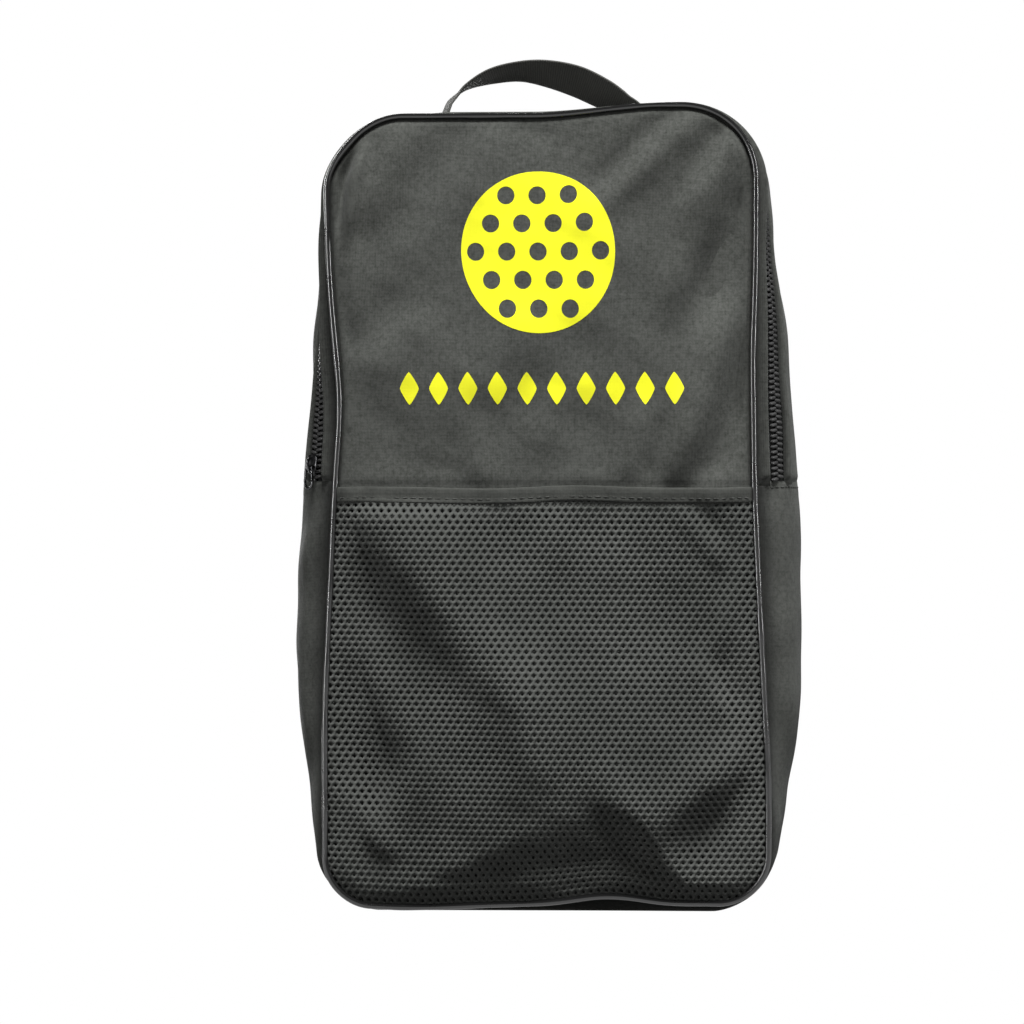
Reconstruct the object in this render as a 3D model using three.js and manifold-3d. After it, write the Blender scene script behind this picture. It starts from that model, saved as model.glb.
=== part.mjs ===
// Soft zip-up case for sports paddles, standing on its base. Millimetres, +Z up, the front faces -Y.
// The case is a front and a back panel joined by a gusset. A zip runs up the left side of the gusset,
// over the top and down the right side, so the upper front folds forward as a flap.
import * as THREE from "three";
import { mergeVertices } from "three/addons/utils/BufferGeometryUtils.js";
import Module from "manifold-3d";

const wasm = await Module();
wasm.setup();

// Driving dimensions
const DEPTH = 66; // between the front and the back seam
const CLEARANCE = 0.3; // between pieces that touch
const LOW_CORNER = 28; // height at which the outlines leave their bottom corners
const HIGH_CORNER = 361; // height at which the outlines enter their top corners
const SEAM_BOTTOM = 4;
const SEAM_TOP = 397;
const TOP = 400; // highest line of the gusset
const ZIP_END = 212; // height of both ends of the zip
const FOLD = 213; // height of the line on which the front flap folds
const HEM_TOP = 210.7;
const HEM_HEIGHT = 7.4;

// Side shape: the seams pull in above the middle, and the gusset swells between them.
const SEAM_HALF_TOP = 105;
const SEAM_HALF_BOTTOM = 110;
const SEAM_WAIST = { pull: 2.2, height: 255, spread: 45 };
const FULLEST = { half: 126.4, height: 135, bottomTaper: 17, taperPower: 1.8, slantTop: 124.4 };
const OUTER_SLANT = THREE.MathUtils.degToRad(4.8);

// Line of the zip: in the front third of the gusset, straight up the sides, facing partly forward.
const ZIP = {
  depth: -19,
  half: 115.6,
  slant: THREE.MathUtils.degToRad(2.2),
  tilt: THREE.MathUtils.degToRad(42),
  straightTop: 324, // above this height the zip turns to face straight outward
};

// Cloth and foam
const CLOTH = 1;
const FOAM = 3;
const LINING = 0.6;
const FRONT_BULGE = 7;
const BACK_BULGE = 6;
const PIPING_RADIUS = 1.7;
const BINDING = { inset: 2.5, thickness: 1.2, width: 7 };
const SOFT_INSET = 9; // foam and lining stop this far inside the seam
const POCKET = { thickness: 0.8, standOff: 6.2, edgeGap: 0.4 };

// Zip
const TEETH = { inner: 0.75, outer: 4, height: 2 };
const TAPE = { inner: 1.4, outer: 10, thickness: 0.5, gap: 0.5 };
const STRIP_EDGE = 5.2; // from the zip's line to the folded edge of the cloth on each side
const SLIDER = { length: 10, halfWidth: 4, plate: 1.2, height: 222, post: 0.45 };
const TEETH_START = SLIDER.height + SLIDER.length / 2 + CLEARANCE; // the lowest teeth, above the slider
const BAIL = { halfWidth: 0.9, halfLength: 3.6, post: 1, rise: 2.7, bar: 1.1 };
const PULL = { below: 1.2, rise: 1.4, bar: 1.4, armInner: 1.5, armOuter: 2.8, arm: 6, ring: 3.4, hole: 1.7 };

// Handle
const STRAP = { width: 25, thickness: 1.6, middle: 15, lean: THREE.MathUtils.degToRad(25), stub: 8 };
const STRAP_END = { left: -53, right: 40, flange: 20 };

const COLOURS = { cloth: 0x4b4c49, lining: 0x26262a, foam: 0xd8d8d2, piping: 0x141414, net: 0x454745 };

const { lerp, smoothstep, clamp } = THREE.MathUtils;
const paint = (color, roughness, metalness = 0) =>
  new THREE.MeshStandardMaterial({ color, roughness, metalness });
const cloth = paint(COLOURS.cloth, 0.85);
const lining = paint(COLOURS.lining, 0.8);
const foam = paint(COLOURS.foam, 0.95);
const pipingVinyl = paint(COLOURS.piping, 0.25);
const net = paint(COLOURS.net, 0.6);
const zipTape = paint(0x1b1b1b, 0.85);
const zipCoil = paint(0x222222, 0.35);
const metal = paint(0x3a3a3c, 0.3, 0.9);
const webbing = paint(0x252523, 0.8);

const part = new THREE.Group();

function add(name, geometry, material, parent = part) {
  const mesh = new THREE.Mesh(geometry, material);
  mesh.name = name;
  parent.add(mesh);
  return mesh;
}

// ---- Outlines ----

function seamHalf(z) {
  const waist = Math.exp(-(((z - SEAM_WAIST.height) / SEAM_WAIST.spread) ** 2));
  const spread = (SEAM_HALF_BOTTOM - SEAM_HALF_TOP) * (1 - smoothstep(z, 60, 215));
  return SEAM_HALF_TOP + spread - SEAM_WAIST.pull * waist;
}

// Half width of the outermost line of the gusset: straight beside the zip, and full below it.
function outerHalf(z) {
  const slanted = (height) => FULLEST.slantTop - (height - ZIP_END) * Math.tan(OUTER_SLANT);
  if (z > ZIP_END) return slanted(z);
  if (z > FULLEST.height) {
    const t = (z - FULLEST.height) / (ZIP_END - FULLEST.height);
    return lerp(FULLEST.half, FULLEST.slantTop, t ** 3);
  }
  const t = (FULLEST.height - z) / FULLEST.height;
  return FULLEST.half - FULLEST.bottomTaper * t ** FULLEST.taperPower;
}

// Half width of the zip's line, and of its continuation below the zip.
function zipHalf(z) {
  if (z > ZIP_END) return ZIP.half - (z - ZIP_END) * Math.tan(ZIP.slant);
  const share = (ZIP.half - seamHalf(ZIP_END)) / (FULLEST.slantTop - seamHalf(ZIP_END));
  return lerp(seamHalf(z), outerHalf(z), lerp(1, share, smoothstep(z, 0, LOW_CORNER * 3)));
}

const seamOutline = { bottom: SEAM_BOTTOM, top: SEAM_TOP, half: seamHalf };
const outerOutline = { bottom: 0, top: TOP, half: outerHalf };
const zipOutline = { bottom: 0, top: TOP, half: zipHalf };

// A point of the right half of an outline, drawn in by inset. turn is the corner's angle, from 0 on the
// horizontal edge to a right angle on the side.
function cornerPoint({ bottom, top, half }, turn, upper, inset = 0) {
  const radius = (upper ? top - HIGH_CORNER : LOW_CORNER - bottom) - inset;
  const z = upper ? HIGH_CORNER + radius * Math.cos(turn) : LOW_CORNER - radius * Math.cos(turn);
  return new THREE.Vector2(half(z) - inset - radius + radius * Math.sin(turn), z);
}

function sidePoint(outline, z, inset = 0) {
  return new THREE.Vector2(outline.half(z) - inset, z);
}

function edgePoint(outline, share, upper, inset = 0) {
  const corner = cornerPoint(outline, 0, upper, inset);
  return new THREE.Vector2(corner.x * share, corner.y);
}

const steps = (count) => Array.from({ length: count + 1 }, (_, i) => i / count);

// Stations of the right half of the outlines, each a function of (outline, inset): from the bottom
// middle up to height, or from height up to the top middle.
function lowerHalf(height, { edge = 3, corner = 5, side = 6 } = {}) {
  return [
    ...steps(edge).slice(0, -1).map((t) => (o, inset) => edgePoint(o, t, false, inset)),
    ...steps(corner).map((t) => (o, inset) => cornerPoint(o, (t * Math.PI) / 2, false, inset)),
    ...steps(side).slice(1).map((t) => (o, inset) => sidePoint(o, lerp(LOW_CORNER, height, t), inset)),
  ];
}

function upperHalf(height, { edge = 3, corner = 8, side = 3, turning = 3 } = {}) {
  const straight = steps(side).map((t) => lerp(height, ZIP.straightTop, t));
  const heights = [...straight, ...steps(turning).slice(1, -1).map((t) => lerp(ZIP.straightTop, HIGH_CORNER, t))];
  return [
    ...heights.map((z) => (o, inset) => sidePoint(o, z, inset)),
    ...steps(corner).map((t) => (o, inset) => cornerPoint(o, ((1 - t) * Math.PI) / 2, true, inset)),
    ...steps(edge).slice(1).map((t) => (o, inset) => edgePoint(o, 1 - t, true, inset)),
  ];
}

const mirrored = (station) => (o, inset) => station(o, inset).multiply(new THREE.Vector2(-1, 1));

// Left end, round the bottom, to the right end; and left end, over the top, to the right end.
const around = (half, over) =>
  over
    ? [...half.map(mirrored), ...half.slice(0, -1).reverse()]
    : [...half.slice(1).reverse().map(mirrored), ...half];

// ---- Thin solids ----

// A thin solid between two grids of points: point(row, column, face), where face 0 is the inner one.
function slab(rows, columns, point, closed = false) {
  const positions = [];
  const indices = [];
  const at = (i, j, face) => ((i % rows) * columns + j) * 2 + face;
  const quad = (a, b, c, d) => indices.push(a, b, c, a, c, d);
  for (let i = 0; i < rows; i++)
    for (let j = 0; j < columns; j++)
      for (const face of [0, 1]) positions.push(...point(i, j, face).toArray());
  const lastRow = closed ? rows : rows - 1;
  for (let i = 0; i < lastRow; i++) {
    for (let j = 0; j < columns - 1; j++) {
      quad(at(i, j, 1), at(i + 1, j, 1), at(i + 1, j + 1, 1), at(i, j + 1, 1));
      quad(at(i, j, 0), at(i, j + 1, 0), at(i + 1, j + 1, 0), at(i + 1, j, 0));
    }
    quad(at(i, 0, 0), at(i + 1, 0, 0), at(i + 1, 0, 1), at(i, 0, 1));
    quad(at(i, columns - 1, 1), at(i + 1, columns - 1, 1), at(i + 1, columns - 1, 0), at(i, columns - 1, 0));
  }
  if (!closed)
    for (let j = 0; j < columns - 1; j++) {
      quad(at(0, j, 0), at(0, j, 1), at(0, j + 1, 1), at(0, j + 1, 0));
      quad(at(lastRow, j, 1), at(lastRow, j, 0), at(lastRow, j + 1, 0), at(lastRow, j + 1, 1));
    }
  const geometry = new THREE.BufferGeometry();
  geometry.setAttribute("position", new THREE.Float32BufferAttribute(positions, 3));
  geometry.setIndex(indices);
  return facingOut(geometry);
}

// Turns the faces round if the solid is inside out.
function facingOut(geometry) {
  const position = geometry.getAttribute("position");
  const index = geometry.getIndex();
  const [a, b, c] = [0, 1, 2].map(() => new THREE.Vector3());
  let volume = 0;
  for (let i = 0; i < index.count; i += 3) {
    [a, b, c].forEach((corner, k) => corner.fromBufferAttribute(position, index.getX(i + k)));
    volume += a.dot(b.cross(c));
  }
  if (volume < 0)
    for (let i = 0; i < index.count; i += 3) {
      const second = index.getX(i + 1);
      index.setX(i + 1, index.getX(i + 2));
      index.setX(i + 2, second);
    }
  geometry.computeVertexNormals();
  return geometry;
}

// Outward normal of a row of stations, in the plane of the outline.
function normalAt(stations, i, outline, closed) {
  const count = stations.length;
  const before = stations[closed ? (i + count - 1) % count : Math.max(i - 1, 0)](outline, 0);
  const after = stations[closed ? (i + 1) % count : Math.min(i + 1, count - 1)](outline, 0);
  const along = after.sub(before).normalize();
  const normal = new THREE.Vector2(along.y, -along.x);
  const middle = new THREE.Vector2(0, (SEAM_BOTTOM + SEAM_TOP) / 2);
  return normal.dot(stations[i](outline, 0).sub(middle)) < 0 ? normal.negate() : normal;
}

// How far the gusset's front faces forward at a height.
function tiltAt(z) {
  const low = smoothstep(z, SEAM_BOTTOM, LOW_CORNER * 4);
  return ZIP.tilt * low * (1 - smoothstep(z, ZIP.straightTop, HIGH_CORNER));
}

// Cross-section of the gusset at a station, as knots from the front seam to the back seam. across is the
// place of a knot on the laid-out cloth, measured from the mid-depth.
function sectionAt(stations, i) {
  const seam = stations[i](seamOutline, 0);
  const zip = stations[i](zipOutline, 0);
  const outer = stations[i](outerOutline, 0);
  const normal = normalAt(stations, i, zipOutline, false);
  const tilt = tiltAt(seam.y);
  const knot = (across, place, depth, turn) => ({
    across,
    at: new THREE.Vector3(place.x, depth, place.y),
    out: new THREE.Vector3(normal.x * Math.cos(turn), -Math.sin(turn), normal.y * Math.cos(turn)),
  });
  const fold = (side) => {
    const place = zip.clone().addScaledVector(normal, side * STRIP_EDGE * Math.sin(tilt));
    return knot(ZIP.depth + side * STRIP_EDGE, place, ZIP.depth + side * STRIP_EDGE * Math.cos(tilt), tilt);
  };
  const shoulder = seam.clone().lerp(outer, lerp(1, 0.7, tilt / ZIP.tilt));
  return [
    knot(-DEPTH / 2, seam, -DEPTH / 2, tilt),
    fold(-1),
    fold(1),
    knot(0, outer, 0, 0),
    knot(12, outer, 12, 0),
    knot(24, shoulder, 24, -tilt * 0.6),
    knot(DEPTH / 2, seam, DEPTH / 2, -tilt * 0.8),
  ];
}

const KNOTS = [-DEPTH / 2, ZIP.depth - STRIP_EDGE, ZIP.depth + STRIP_EDGE, 0, 12, 24, DEPTH / 2];

function inSection(section, across, offset) {
  const after = Math.max(1, section.findIndex((knot) => knot.across >= across));
  const [a, b] = [section[after - 1], section[after]];
  const t = (across - a.across) / (b.across - a.across);
  return a.at.clone().lerp(b.at, t).addScaledVector(a.out.clone().lerp(b.out, t).normalize(), offset);
}

// A band of the gusset: stations along it, from one place across it to another, and outward from offset
// to offset + thickness.
function band(stations, from, to, offset, thickness) {
  const columns = [from, ...KNOTS.filter((across) => across > from && across < to), to];
  const sections = stations.map((_, i) => sectionAt(stations, i));
  return slab(stations.length, columns.length, (i, j, face) =>
    inSection(sections[i], columns[j], offset + face * thickness),
  );
}

// A tube round the seam, at depth y.
function tube(stations, y, closed) {
  const sides = 6;
  const rows = stations.length;
  const positions = [];
  const indices = [];
  stations.forEach((station, i) => {
    const seam = station(seamOutline, 0);
    const normal = normalAt(stations, i, seamOutline, closed);
    for (let k = 0; k < sides; k++) {
      const turn = (k / sides) * 2 * Math.PI;
      const place = seam.clone().addScaledVector(normal, PIPING_RADIUS * Math.cos(turn));
      positions.push(place.x, y + PIPING_RADIUS * Math.sin(turn), place.y);
    }
  });
  const at = (i, k) => (i % rows) * sides + (k % sides);
  for (let i = 0; i < (closed ? rows : rows - 1); i++)
    for (let k = 0; k < sides; k++)
      indices.push(at(i, k), at(i, k + 1), at(i + 1, k + 1), at(i, k), at(i + 1, k + 1), at(i + 1, k));
  if (!closed)
    for (let k = 1; k < sides - 1; k++)
      indices.push(at(0, 0), at(0, k + 1), at(0, k), at(rows - 1, 0), at(rows - 1, k), at(rows - 1, k + 1));
  const geometry = new THREE.BufferGeometry();
  geometry.setAttribute("position", new THREE.Float32BufferAttribute(positions, 3));
  geometry.setIndex(indices);
  return facingOut(geometry);
}

// ---- Panels ----

const COLUMNS = [-1, -0.9, -0.6, -0.2, 0.2, 0.6, 0.9, 1];

function pillow(u, z) {
  const v = (2 * z - SEAM_TOP - SEAM_BOTTOM) / (SEAM_TOP - SEAM_BOTTOM);
  return (1 - Math.abs(u) ** 3) * (1 - clamp(Math.abs(v), 0, 1) ** 4);
}

// One layer of a panel. facing is -1 for the front and 1 for the back, and near and far are the layer's
// two faces, measured from the seam towards the outside.
function panelLayer(rows, facing, bulge, inset, near, far) {
  return slab(rows.length, COLUMNS.length, (i, j, face) => {
    const edge = rows[i](seamOutline, inset);
    const out = bulge * pillow(COLUMNS[j], edge.y) + (face ? far : near);
    return new THREE.Vector3(edge.x * COLUMNS[j], facing * (DEPTH / 2 + out), edge.y);
  });
}

// Rows of a panel: the stations of one half of the outline that lie on its corners and sides.
const FEW = { edge: 1, corner: 4, side: 3, turning: 1 };
const lowerRows = (height) => lowerHalf(height, FEW).slice(1);
const upperRows = (height) => upperHalf(height, FEW).slice(0, -1);
const wholeRows = () => [...lowerRows(FOLD), ...upperRows(FOLD).slice(1)];

const LAYERS = {
  panel: { inset: PIPING_RADIUS + CLEARANCE, near: -CLOTH / 2, far: CLOTH / 2, material: cloth },
  foam: { inset: SOFT_INSET, far: -CLOTH / 2 - CLEARANCE, near: -CLOTH / 2 - CLEARANCE - FOAM, material: foam },
};
LAYERS.lining = { inset: SOFT_INSET, far: LAYERS.foam.near - CLEARANCE, material: lining };
LAYERS.lining.near = LAYERS.lining.far - LINING;

function addPanels() {
  for (const [kind, { inset, near, far, material }] of Object.entries(LAYERS)) {
    const build = (rows, facing, bulge) => panelLayer(rows, facing, bulge, inset, near, far);
    add(`back_${kind}`, build(wholeRows(), 1, BACK_BULGE), material);
    add(`front_${kind}_lower`, build(lowerRows(FOLD - CLEARANCE), -1, FRONT_BULGE), material);
    add(`front_${kind}_upper`, build(upperRows(FOLD + CLEARANCE), -1, FRONT_BULGE), material);
  }
}

// ---- Seams ----

const SEAM = DEPTH / 2;
const GUSSET_EDGE = SEAM - PIPING_RADIUS - CLEARANCE;

function addSeams() {
  const right = [...lowerHalf(FOLD), ...upperHalf(FOLD).slice(1)];
  const loop = [...right, ...right.slice(1, -1).reverse().map(mirrored)];
  add("back_piping", tube(loop, SEAM, true), pipingVinyl);
  add("front_piping_lower", tube(around(lowerHalf(FOLD - CLEARANCE), false), -SEAM, false), pipingVinyl);
  add("front_piping_upper", tube(around(upperHalf(FOLD + CLEARANCE), true), -SEAM, false), pipingVinyl);

  // Tape bound over the raw edges inside each seam.
  const below = around(lowerHalf(ZIP_END - CLEARANCE), false);
  const above = around(upperHalf(ZIP_END + CLEARANCE), true);
  for (const [place, stations] of [["lower", below], ["upper", above]]) {
    const depth = -BINDING.inset - BINDING.thickness;
    const bind = (from) => band(stations, from, from + BINDING.width, depth, BINDING.thickness);
    add(`front_binding_${place}`, bind(-GUSSET_EDGE), lining);
    add(`back_binding_${place}`, bind(GUSSET_EDGE - BINDING.width), lining);
  }
}

// ---- Gusset and zip ----

function addGusset() {
  const lower = around(lowerHalf(ZIP_END - CLEARANCE), false);
  const upper = around(upperHalf(ZIP_END + CLEARANCE), true);
  const toothed = around(upperHalf(TEETH_START), true);
  add("lower_gusset", band(lower, -GUSSET_EDGE, GUSSET_EDGE, -CLOTH, CLOTH), cloth);
  const inside = GUSSET_EDGE - BINDING.width - CLEARANCE;
  add("lower_gusset_lining", band(lower, -inside, inside, -CLOTH - CLEARANCE - LINING, LINING), lining);
  const beside = (stations, side, near, far, offset, thickness) => {
    const ends = [ZIP.depth + side * near, ZIP.depth + side * far].sort((a, b) => a - b);
    return band(stations, ...ends, offset, thickness);
  };
  for (const [name, side, edge] of [["front", -1, GUSSET_EDGE + ZIP.depth], ["back", 1, GUSSET_EDGE - ZIP.depth]]) {
    add(`${name}_zip_strip`, beside(upper, side, STRIP_EDGE, edge, -CLOTH, CLOTH), cloth);
    const under = -CLOTH - TAPE.gap - TAPE.thickness;
    add(`${name}_zip_tape`, beside(upper, side, TAPE.inner, TAPE.outer, under, TAPE.thickness), zipTape);
    add(`${name}_zip_teeth`, beside(toothed, side, TEETH.inner, TEETH.outer, -CLOTH, TEETH.height), zipCoil);
  }
}

// ---- Net pocket ----

// The net lies on the lower front, and stands off it towards the mouth, so that balls can go in.
function standOff(u, z) {
  const rise = smoothstep(z, 10, 95);
  return POCKET.edgeGap + POCKET.standOff * rise * (1 - Math.abs(u) ** 4);
}

function pocketSheet(rows, thickness) {
  const inset = PIPING_RADIUS + CLEARANCE;
  return slab(rows.length, COLUMNS.length, (i, j, face) => {
    const edge = rows[i](seamOutline, inset);
    const u = COLUMNS[j];
    const out = FRONT_BULGE * pillow(u, edge.y) + CLOTH / 2 + standOff(u, edge.y) + face * thickness;
    return new THREE.Vector3(edge.x * u, -DEPTH / 2 - out, edge.y);
  });
}

function addPocket() {
  const hemBottom = HEM_TOP - HEM_HEIGHT;
  add("net_pocket", pocketSheet(lowerRows(hemBottom - CLEARANCE), POCKET.thickness), net);
  const hemRows = [hemBottom, HEM_TOP].map((z) => (o, inset) => sidePoint(o, z, inset));
  add("net_pocket_hem", pocketSheet(hemRows, POCKET.thickness * 2), cloth);
}

// ---- Handle ----

// The strap's middle line, from the left end to the right, rising above the top of the case. It leans
// back as it rises.
const arch = new THREE.CatmullRomCurve3(
  [
    [-52.5, 0.4], [-51.5, 3], [-46.5, 8.2], [-41, 13.4], [-30, 18.2], [-16, 20.6], [-2.6, 19.4], [11.7, 15.6],
    [24.2, 9.8], [33, 4], [38, 0.4],
  ].map(([x, rise]) => new THREE.Vector3(x, STRAP.middle + rise * Math.tan(STRAP.lean), TOP + 1 + rise)),
);

// The strap is turned about its own line, from edge-on at the left to showing its underside at the right.
const TWIST = { left: -5, right: 38 }; // degrees
const twist = (t) => THREE.MathUtils.degToRad(lerp(TWIST.left, TWIST.right, smoothstep(t, 0.1, 0.65)));

function strapPiece(from, to, count) {
  const points = steps(count).map((t) => lerp(from, to, t));
  return slab(points.length, 2, (i, j, face) => {
    const t = points[i];
    const along = arch.getTangent(t);
    along.y = 0;
    along.normalize();
    const outward = new THREE.Vector3(-along.z, 0, along.x);
    const turn = twist(t);
    const wide = new THREE.Vector3(0, Math.cos(turn), 0).addScaledVector(outward, -Math.sin(turn));
    const thick = outward.multiplyScalar(Math.cos(turn)).add(new THREE.Vector3(0, Math.sin(turn), 0));
    return arch
      .getPoint(t)
      .addScaledVector(wide, (j - 0.5) * STRAP.width)
      .addScaledVector(thick, face * STRAP.thickness);
  });
}

// Where along the arch the strap has risen clear of its stitched ends.
function clearOfStub(fromLeft) {
  const tries = steps(200).map((t) => (fromLeft ? t : 1 - t));
  return tries.find((t) => arch.getPoint(t).z > TOP + STRAP.stub);
}

function addHandle() {
  const [left, right] = [clearOfStub(true), clearOfStub(false)];
  add("handle_strap", strapPiece(left, right, 22), webbing);
  // The stitched ends lie flat on the gusset, outside the arch.
  const flange = (name, x, towards) => {
    const end = new THREE.BoxGeometry(STRAP_END.flange, STRAP.width, STRAP.thickness);
    end.translate(x + (towards * STRAP_END.flange) / 2, STRAP.middle, TOP + CLEARANCE + STRAP.thickness / 2);
    add(name, end, webbing);
  };
  flange("handle_end_left", STRAP_END.left, -1);
  flange("handle_end_right", STRAP_END.right, 1);
}

// ---- Slider and pull ----

function solidOf(geometry) {
  const bare = geometry.clone().deleteAttribute("normal").deleteAttribute("uv");
  const merged = mergeVertices(bare, 1e-4);
  return new wasm.Manifold(
    new wasm.Mesh({
      numProp: 3,
      vertProperties: merged.attributes.position.array,
      triVerts: new Uint32Array(merged.index.array),
    }),
  );
}

function geometryOf(solid) {
  const { vertProperties, triVerts } = solid.getMesh();
  const geometry = new THREE.BufferGeometry();
  geometry.setAttribute("position", new THREE.BufferAttribute(vertProperties, 3));
  geometry.setIndex(new THREE.BufferAttribute(triVerts, 1));
  geometry.computeVertexNormals();
  return geometry;
}

// A box in the zip's own frame: outward from it, across it and along it.
function block([out0, out1], [across0, across1], [along0, along1]) {
  const box = new THREE.BoxGeometry(out1 - out0, across1 - across0, along1 - along0);
  box.translate(-(out0 + out1) / 2, (across0 + across1) / 2, (along0 + along1) / 2);
  return solidOf(box);
}

function disc(radius, [out0, out1], along) {
  const cylinder = new THREE.CylinderGeometry(radius, radius, out1 - out0, 20);
  cylinder.rotateZ(Math.PI / 2).translate(-(out0 + out1) / 2, 0, along);
  return solidOf(cylinder);
}

const joined = (solids) => geometryOf(solids.reduce((sum, solid) => sum.add(solid)));

const PLATE_OUT = -CLOTH + TEETH.height + CLEARANCE; // underside of the slider's outer plate
const PLATE_IN = -CLOTH - TAPE.gap - TAPE.thickness - CLEARANCE; // upper side of its inner plate
const SLIDER_TOP = PLATE_OUT + SLIDER.plate;
const PIN = SLIDER_TOP + PULL.rise; // middle of the pull's bar, outward from the cloth
const SUNK = 0.1; // joined pieces run this far into each other

function addSlider(frame) {
  const half = SLIDER.length / 2;
  const wide = [-SLIDER.halfWidth, SLIDER.halfWidth];
  const bail = [-BAIL.halfWidth, BAIL.halfWidth];
  const bailTop = SLIDER_TOP + BAIL.rise + BAIL.bar;
  const leg = (end) => [end - BAIL.post / 2, end + BAIL.post / 2];
  const slider = [
    block([PLATE_OUT, SLIDER_TOP], wide, [-half, half]),
    block([PLATE_IN - SLIDER.plate, PLATE_IN], wide, [-half, half]),
    block([PLATE_IN - SUNK, PLATE_OUT + SUNK], [-SLIDER.post, SLIDER.post], [half - 3, half]),
    block([SLIDER_TOP + BAIL.rise, bailTop], bail, [-BAIL.halfLength, BAIL.halfLength]),
    block([SLIDER_TOP - SUNK, bailTop], bail, leg(BAIL.halfLength - BAIL.post / 2)),
    block([SLIDER_TOP - SUNK, bailTop], bail, leg(-BAIL.halfLength + BAIL.post / 2)),
  ];
  add("zip_slider", joined(slider), metal, frame);
}

// The pull's bar runs under the slider's bail, and two arms lead from it down to a ring.
function addPull(frame) {
  const thick = [PIN - PULL.bar / 2, PIN + PULL.bar / 2];
  const top = -PULL.below + PULL.bar / 2;
  const ringAt = top - PULL.arm - PULL.ring;
  const arm = (side) => {
    const across = [side * PULL.armInner, side * PULL.armOuter].sort((a, b) => a - b);
    return block(thick, across, [ringAt + PULL.hole, top]);
  };
  const bar = block(thick, [-PULL.armOuter, PULL.armOuter], [top - PULL.bar, top]);
  const ring = disc(PULL.ring, thick, ringAt).subtract(disc(PULL.hole, [thick[0] - 1, thick[1] + 1], ringAt));
  add("zip_pull", joined([bar, arm(-1), arm(1), ring]), metal, frame);
}

// The slider sits on the left side of the zip, whose frame leans with the line and faces partly forward.
function zipFrame() {
  const frame = new THREE.Group();
  const along = new THREE.Vector3(Math.sin(ZIP.slant), 0, Math.cos(ZIP.slant));
  const sideways = new THREE.Vector3(-Math.cos(ZIP.slant), 0, Math.sin(ZIP.slant));
  const back = new THREE.Vector3(0, 1, 0);
  const out = sideways.clone().multiplyScalar(Math.cos(ZIP.tilt)).addScaledVector(back, -Math.sin(ZIP.tilt));
  const across = back.clone().multiplyScalar(Math.cos(ZIP.tilt)).addScaledVector(sideways, Math.sin(ZIP.tilt));
  frame.quaternion.setFromRotationMatrix(new THREE.Matrix4().makeBasis(out.negate(), across, along));
  frame.position.set(-zipHalf(SLIDER.height), ZIP.depth, SLIDER.height);
  part.add(frame);
  return frame;
}

addPanels();
addSeams();
addGusset();
addPocket();
addHandle();
const frame = zipFrame();
addSlider(frame);
addPull(frame);

export default part;
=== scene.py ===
"""The looks of a soft paddle case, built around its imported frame.

Lengths are in millimetres until a mesh is made."""

import math

import bmesh
import bpy
import numpy as np
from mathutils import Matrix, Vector


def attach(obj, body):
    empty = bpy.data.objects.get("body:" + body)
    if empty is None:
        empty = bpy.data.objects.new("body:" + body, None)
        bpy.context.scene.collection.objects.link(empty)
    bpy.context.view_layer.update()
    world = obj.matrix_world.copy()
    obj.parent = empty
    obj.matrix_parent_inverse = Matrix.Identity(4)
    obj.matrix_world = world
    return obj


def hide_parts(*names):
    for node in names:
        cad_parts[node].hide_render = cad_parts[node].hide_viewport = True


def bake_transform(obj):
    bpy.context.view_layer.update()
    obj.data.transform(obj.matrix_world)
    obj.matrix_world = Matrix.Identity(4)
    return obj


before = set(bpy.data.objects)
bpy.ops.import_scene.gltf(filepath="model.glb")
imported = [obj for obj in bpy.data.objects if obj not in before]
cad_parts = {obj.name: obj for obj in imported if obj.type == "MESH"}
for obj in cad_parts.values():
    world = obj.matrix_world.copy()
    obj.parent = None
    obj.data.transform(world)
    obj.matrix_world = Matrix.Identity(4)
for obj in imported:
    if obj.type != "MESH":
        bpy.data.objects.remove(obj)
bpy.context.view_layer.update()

MM = 0.001

# ---- The case's driving dimensions, the same as the frame's ----

SEAM = 33.0
LOW_CORNER, HIGH_CORNER = 28.0, 361.0
SEAM_BOTTOM, SEAM_TOP = 4.0, 397.0
TOP = 400.0
ZIP_END, FOLD = 212.0, 213.0
HEM_TOP, HEM_HEIGHT = 210.7, 7.4
ZIP_DEPTH, STRIP_EDGE = -19.0, 5.2
ZIP_TILT = math.radians(42)
SLIDER_HEIGHT = 222.0
PIPING = 1.6
ZIP_SLANT = math.radians(2.2)

# depths of the panels' faces beside the seam, and how far each panel is stuffed out in its middle
OUTER_FACE, PADDING_BACK, LINING_FACE = SEAM + 0.5, SEAM - 3.8, SEAM - 4.1
FRONT_PUFF, BACK_PUFF = 6.6, 6.0


def smoothstep(x, low, high):
    t = np.clip((np.asarray(x, float) - low) / (high - low), 0, 1)
    return t * t * (3 - 2 * t)


def lerp(a, b, t):
    return a + (b - a) * t


def seam_half(z):
    z = np.asarray(z, float)
    waist = np.exp(-(((z - 255) / 45) ** 2))
    return 105 + 5 * (1 - smoothstep(z, 60, 215)) - 2.2 * waist


def outer_half(z):
    z = np.asarray(z, float)
    slanted = 124.4 - (z - ZIP_END) * math.tan(math.radians(4.8))
    full = 126.4 - 2 * np.clip((z - 135) / (ZIP_END - 135), 0, None) ** 3
    low = 126.4 - 17 * np.clip((135 - z) / 135, 0, None) ** 1.8
    return np.where(z > ZIP_END, slanted, np.where(z > 135, full, low))


def zip_half(z):
    z = np.asarray(z, float)
    straight = 115.6 - (z - ZIP_END) * math.tan(ZIP_SLANT)
    share = (115.6 - seam_half(ZIP_END)) / (124.4 - seam_half(ZIP_END))
    below = lerp(seam_half(z), outer_half(z), lerp(1, share, smoothstep(z, 0, 84)))
    return np.where(z > ZIP_END, straight, below)


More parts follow.
